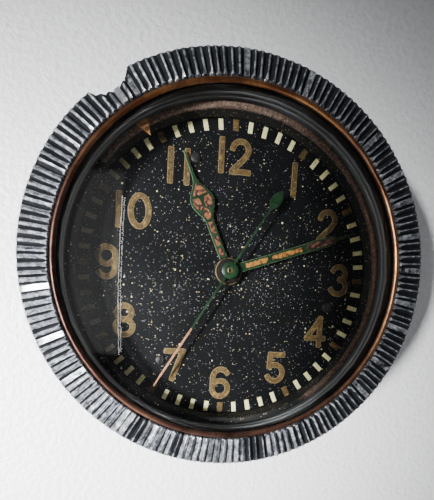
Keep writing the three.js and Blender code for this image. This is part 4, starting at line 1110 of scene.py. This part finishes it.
def second_hand():
    """A thin hand with a leaf on its tail, green as far as its copper tip."""
    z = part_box("second_hand")[0][2] / MM + 0.3
    joint_y = 11.9
    leaf = mirror([
        (0.12, -16.1), (0.5, -15.6), (0.86, -14.9), (0.95, -14.1), (0.8, -13.4), (0.42, -12.8), (0.14, -12.3),
        (0.13, -10.6),
    ])
    shaft = mirror([(0.13, -11.0), (0.2, 0), (0.16, joint_y)])
    tip = mirror([(0.16, joint_y), (0.2, 17.0), (0.17, 21.0), (0.1, 23.8)])
    boss_side = [(0.48, z - 0.3), (1.45, z - 0.3), (1.45, z + 0.3), (0.95, z + 0.42), (0.48, z + 0.42)]
    green = [plate(leaf, z, z + 0.2), plate(shaft, z, z + 0.2), turned(rounded(boss_side, 0.08), 64)]
    for name, parts, look, replaces in (
        ("second_blade", green, "green", "second_hand"),
        ("second_tip", [plate(tip, z, z + 0.21)], "copper", None),
        ("second_pipe", [washer(0.26, 0.5, z - 0.2, z + 0.5, 0.05, 40)], "brass", None),
    ):
        hand_piece(name, parts, look, "second_hand", SECOND_CLOCK, replaces)


hour_hand()
minute_hand()
second_hand()


# ---------- case

def case_mesh():
    """Flange, waist, and the wider neck that the bezel turns on."""
    waist_r, neck_r, neck_in_r, room_r, seat_r = 28.5, 29.6, 28.9, 24.9, 22.4
    profile = rounded([
        (COVER_R + 0.4, 0), (FLANGE_R, 0), (FLANGE_R, FLANGE_T), (waist_r + 0.2, FLANGE_T), (waist_r, 14.4),
        (neck_r, 16.0), (neck_r, 25.5), (neck_in_r, 25.5), (neck_in_r, 17.4), (room_r, 17.4), (room_r, 6.0),
        (seat_r, 5.2), (seat_r, FLANGE_T), (COVER_R + 0.4, FLANGE_T),
    ], 0.35, 4)
    verts, faces = turned(profile, 192)
    ob = new_object("case_shell", verts, faces, LOOK["enamel"], 32, "case", "case_enamel", "case_body")
    outward(ob)
    holes = [polar(FLANGE_HOLE_PITCH_R, deg) for deg in FLANGE_HOLE_DEGS]
    carve(ob, [drill(FLANGE_HOLE_R, -1, FLANGE_T + 1, p, 40) for p in holes], 32)


def back_mesh():
    """The back cover, with turned steps and three sunk screw holes."""
    profile = [
        (COVER_R, 0.6), (COVER_R, 2.6), (0.05, 2.6), (0.05, 0.75), (7.0, 0.75), (7.2, 0.6), (13.6, 0.6),
        (13.9, 0.85), (14.5, 0.85), (14.8, 0.6), (20.4, 0.6), (20.7, 0.8), (21.2, 0.8), (21.5, 0.6),
    ]
    verts, faces = turned(rounded(profile, 0.12), 160)
    ob = new_object("back_disc", verts, faces, LOOK["enamel"], 32, "case", "case_enamel", "back_cover")
    outward(ob)
    carve(ob, [drill(1.55, -1, 1.45, polar(COVER_SCREW_R, deg), 40) for deg in COVER_SCREW_DEGS])


def cover_screws():
    for k, deg in enumerate(COVER_SCREW_DEGS):
        at = polar(COVER_SCREW_R, deg)
        verts, faces = screw_head(1.3, 0.6, 0.05)
        verts = place(verts, (*at, 1.3), 20 * k, flip=True)
        ob = new_object(
            "cover_screw_head_%d" % (k + 1), verts, faces, LOOK["steel"], 40,
            "case", "steel", "cover_screw_%d" % (k + 1))
        carve(ob, [slot_cutter(1.4, 0.35, -0.05, 1.25, at, 20 * k + 40)])


def button_mesh():
    """The set button, with a knurled edge, drawn along +X and turned to its place on the case."""
    seg = 72
    lo, hi = (Vector(v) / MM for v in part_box("set_button"))
    middle = (lo.z + hi.z) / 2
    # Radius, distance from the clock's axis, and depth of the knurl
    rows = [
        (0.9, 21.4, 0), (0.9, 30.55, 0), (1.55, 30.6, 0), (1.7, 30.75, 0.07), (1.7, 31.75, 0.07),
        (1.5, 31.95, 0), (0.9, 32.0, 0),
    ]
    verts = []
    for r, x, knurl in rows:
        verts += [(x, *polar(r - knurl * (j % 2), 360 * j / seg)) for j in range(seg)]
    verts = place(verts, (0, 0, middle), BUTTON_DEG)
    faces = grid_faces(len(rows), seg) + end_faces(len(rows), seg)
    ob = new_object("button_knurled", verts, faces, LOOK["steel"], 25, "set_button", "steel", "set_button")
    outward(ob)


case_mesh()
back_mesh()
cover_screws()
button_mesh()


# ---------- carried-over pieces

def dress_frame():
    """Gives the nodes that keep their own shape a look that follows their material slot."""
    by_slot = {"steel": "steel", "brass": "brass", "rubber": "rubber"}
    by_slot.update({"blued_steel": "blued", "case_enamel": "enamel"})
    slots = {s["node"]: s["material_slot"] for s in frame["record"]["subparts"]}
    for name, ob in frame["nodes"].items():
        look = by_slot.get(slots.get(name))
        if look is None:
            continue
        if not ob.data.materials:
            ob.data.materials.append(LOOK[look])
        for k in range(len(ob.data.materials)):
            ob.data.materials[k] = LOOK[look]


dress_frame()


# ---------- stage and light

# Places, sizes and targets here are in metres, and powers in watts.
FLOOR_HALF = 3.0


def lay_floor():
    s = FLOOR_HALF / MM
    corners = [(-s, -s, 0), (s, -s, 0), (s, s, 0), (-s, s, 0)]
    floor = new_object("floor", corners, [(0, 1, 2, 3)], LOOK["floor"], 0)
    floor.location.z = -0.00002


def make_world():
    """A pale blue sky, brighter near the horizon than overhead."""
    world = bpy.data.worlds.new("studio")
    world.use_nodes = True
    tree = world.node_tree
    sky = tree.nodes["Background"]
    sky.inputs[0].default_value = (0.86, 0.92, 1.0, 1)
    split = tree.nodes.new("ShaderNodeSeparateXYZ")
    tree.links.new(tree.nodes.new("ShaderNodeTexCoord").outputs["Generated"], split.inputs[0])
    fade = tree.nodes.new("ShaderNodeMapRange")
    tree.links.new(split.outputs[2], fade.inputs[0])
    for socket, value in zip(fade.inputs[1:5], (0.15, 0.60, 0.5, 0.03)):
        socket.default_value = value
    tree.links.new(fade.outputs[0], sky.inputs[1])
    bpy.context.scene.world = world


def add_light(name, kind, at, power, target=None):
    """A light aimed at a target, or straight down."""
    data = bpy.data.lights.new(name, kind)
    data.energy = power
    lamp = bpy.data.objects.new(name, data)
    lamp.location = Vector(at)
    if target:
        lamp.rotation_euler = (Vector(target) - Vector(at)).to_track_quat("-Z", "Y").to_euler()
    bpy.context.scene.collection.objects.link(lamp)
    return data


def area(name, at, size, power, target=None):
    data = add_light(name, "AREA", at, power, target)
    data.shape = "RECTANGLE"
    data.size, data.size_y = size


def spot(name, at, target, angle, radius, power):
    data = add_light(name, "SPOT", at, power, target)
    data.spot_size = math.radians(angle)
    data.spot_blend = 1.0
    data.shadow_soft_size = radius


def make_lights():
    """A key from the left, soft fills, and level panels that the crystal reflects as haze and a line."""
    middle = (0, 0, 0.02)
    spot("key", (-0.43, -0.06, 0.52), (-0.054, -0.040, 0), 17.4, 0.05, 156)
    area("window", (-0.62, -0.42, 0.34), (0.5, 0.34), 0.5, middle)
    for k in range(4):
        area("panel_%d" % k, (-0.262, 0.015 * k, 0.5), (0.16, 0.33 + 0.03 * k), 0.085)
    area("panel_edge", (-0.179, 0.015, 0.5), (0.003, 0.36), 0.04)
    area("low_front", (-0.2, -0.5, 0.2), (0.4, 0.22), 0.75, middle)
    area("side", (-0.6, 0.12, 0.16), (0.2, 0.4), 0.2, middle)


lay_floor()
make_world()
make_lights()
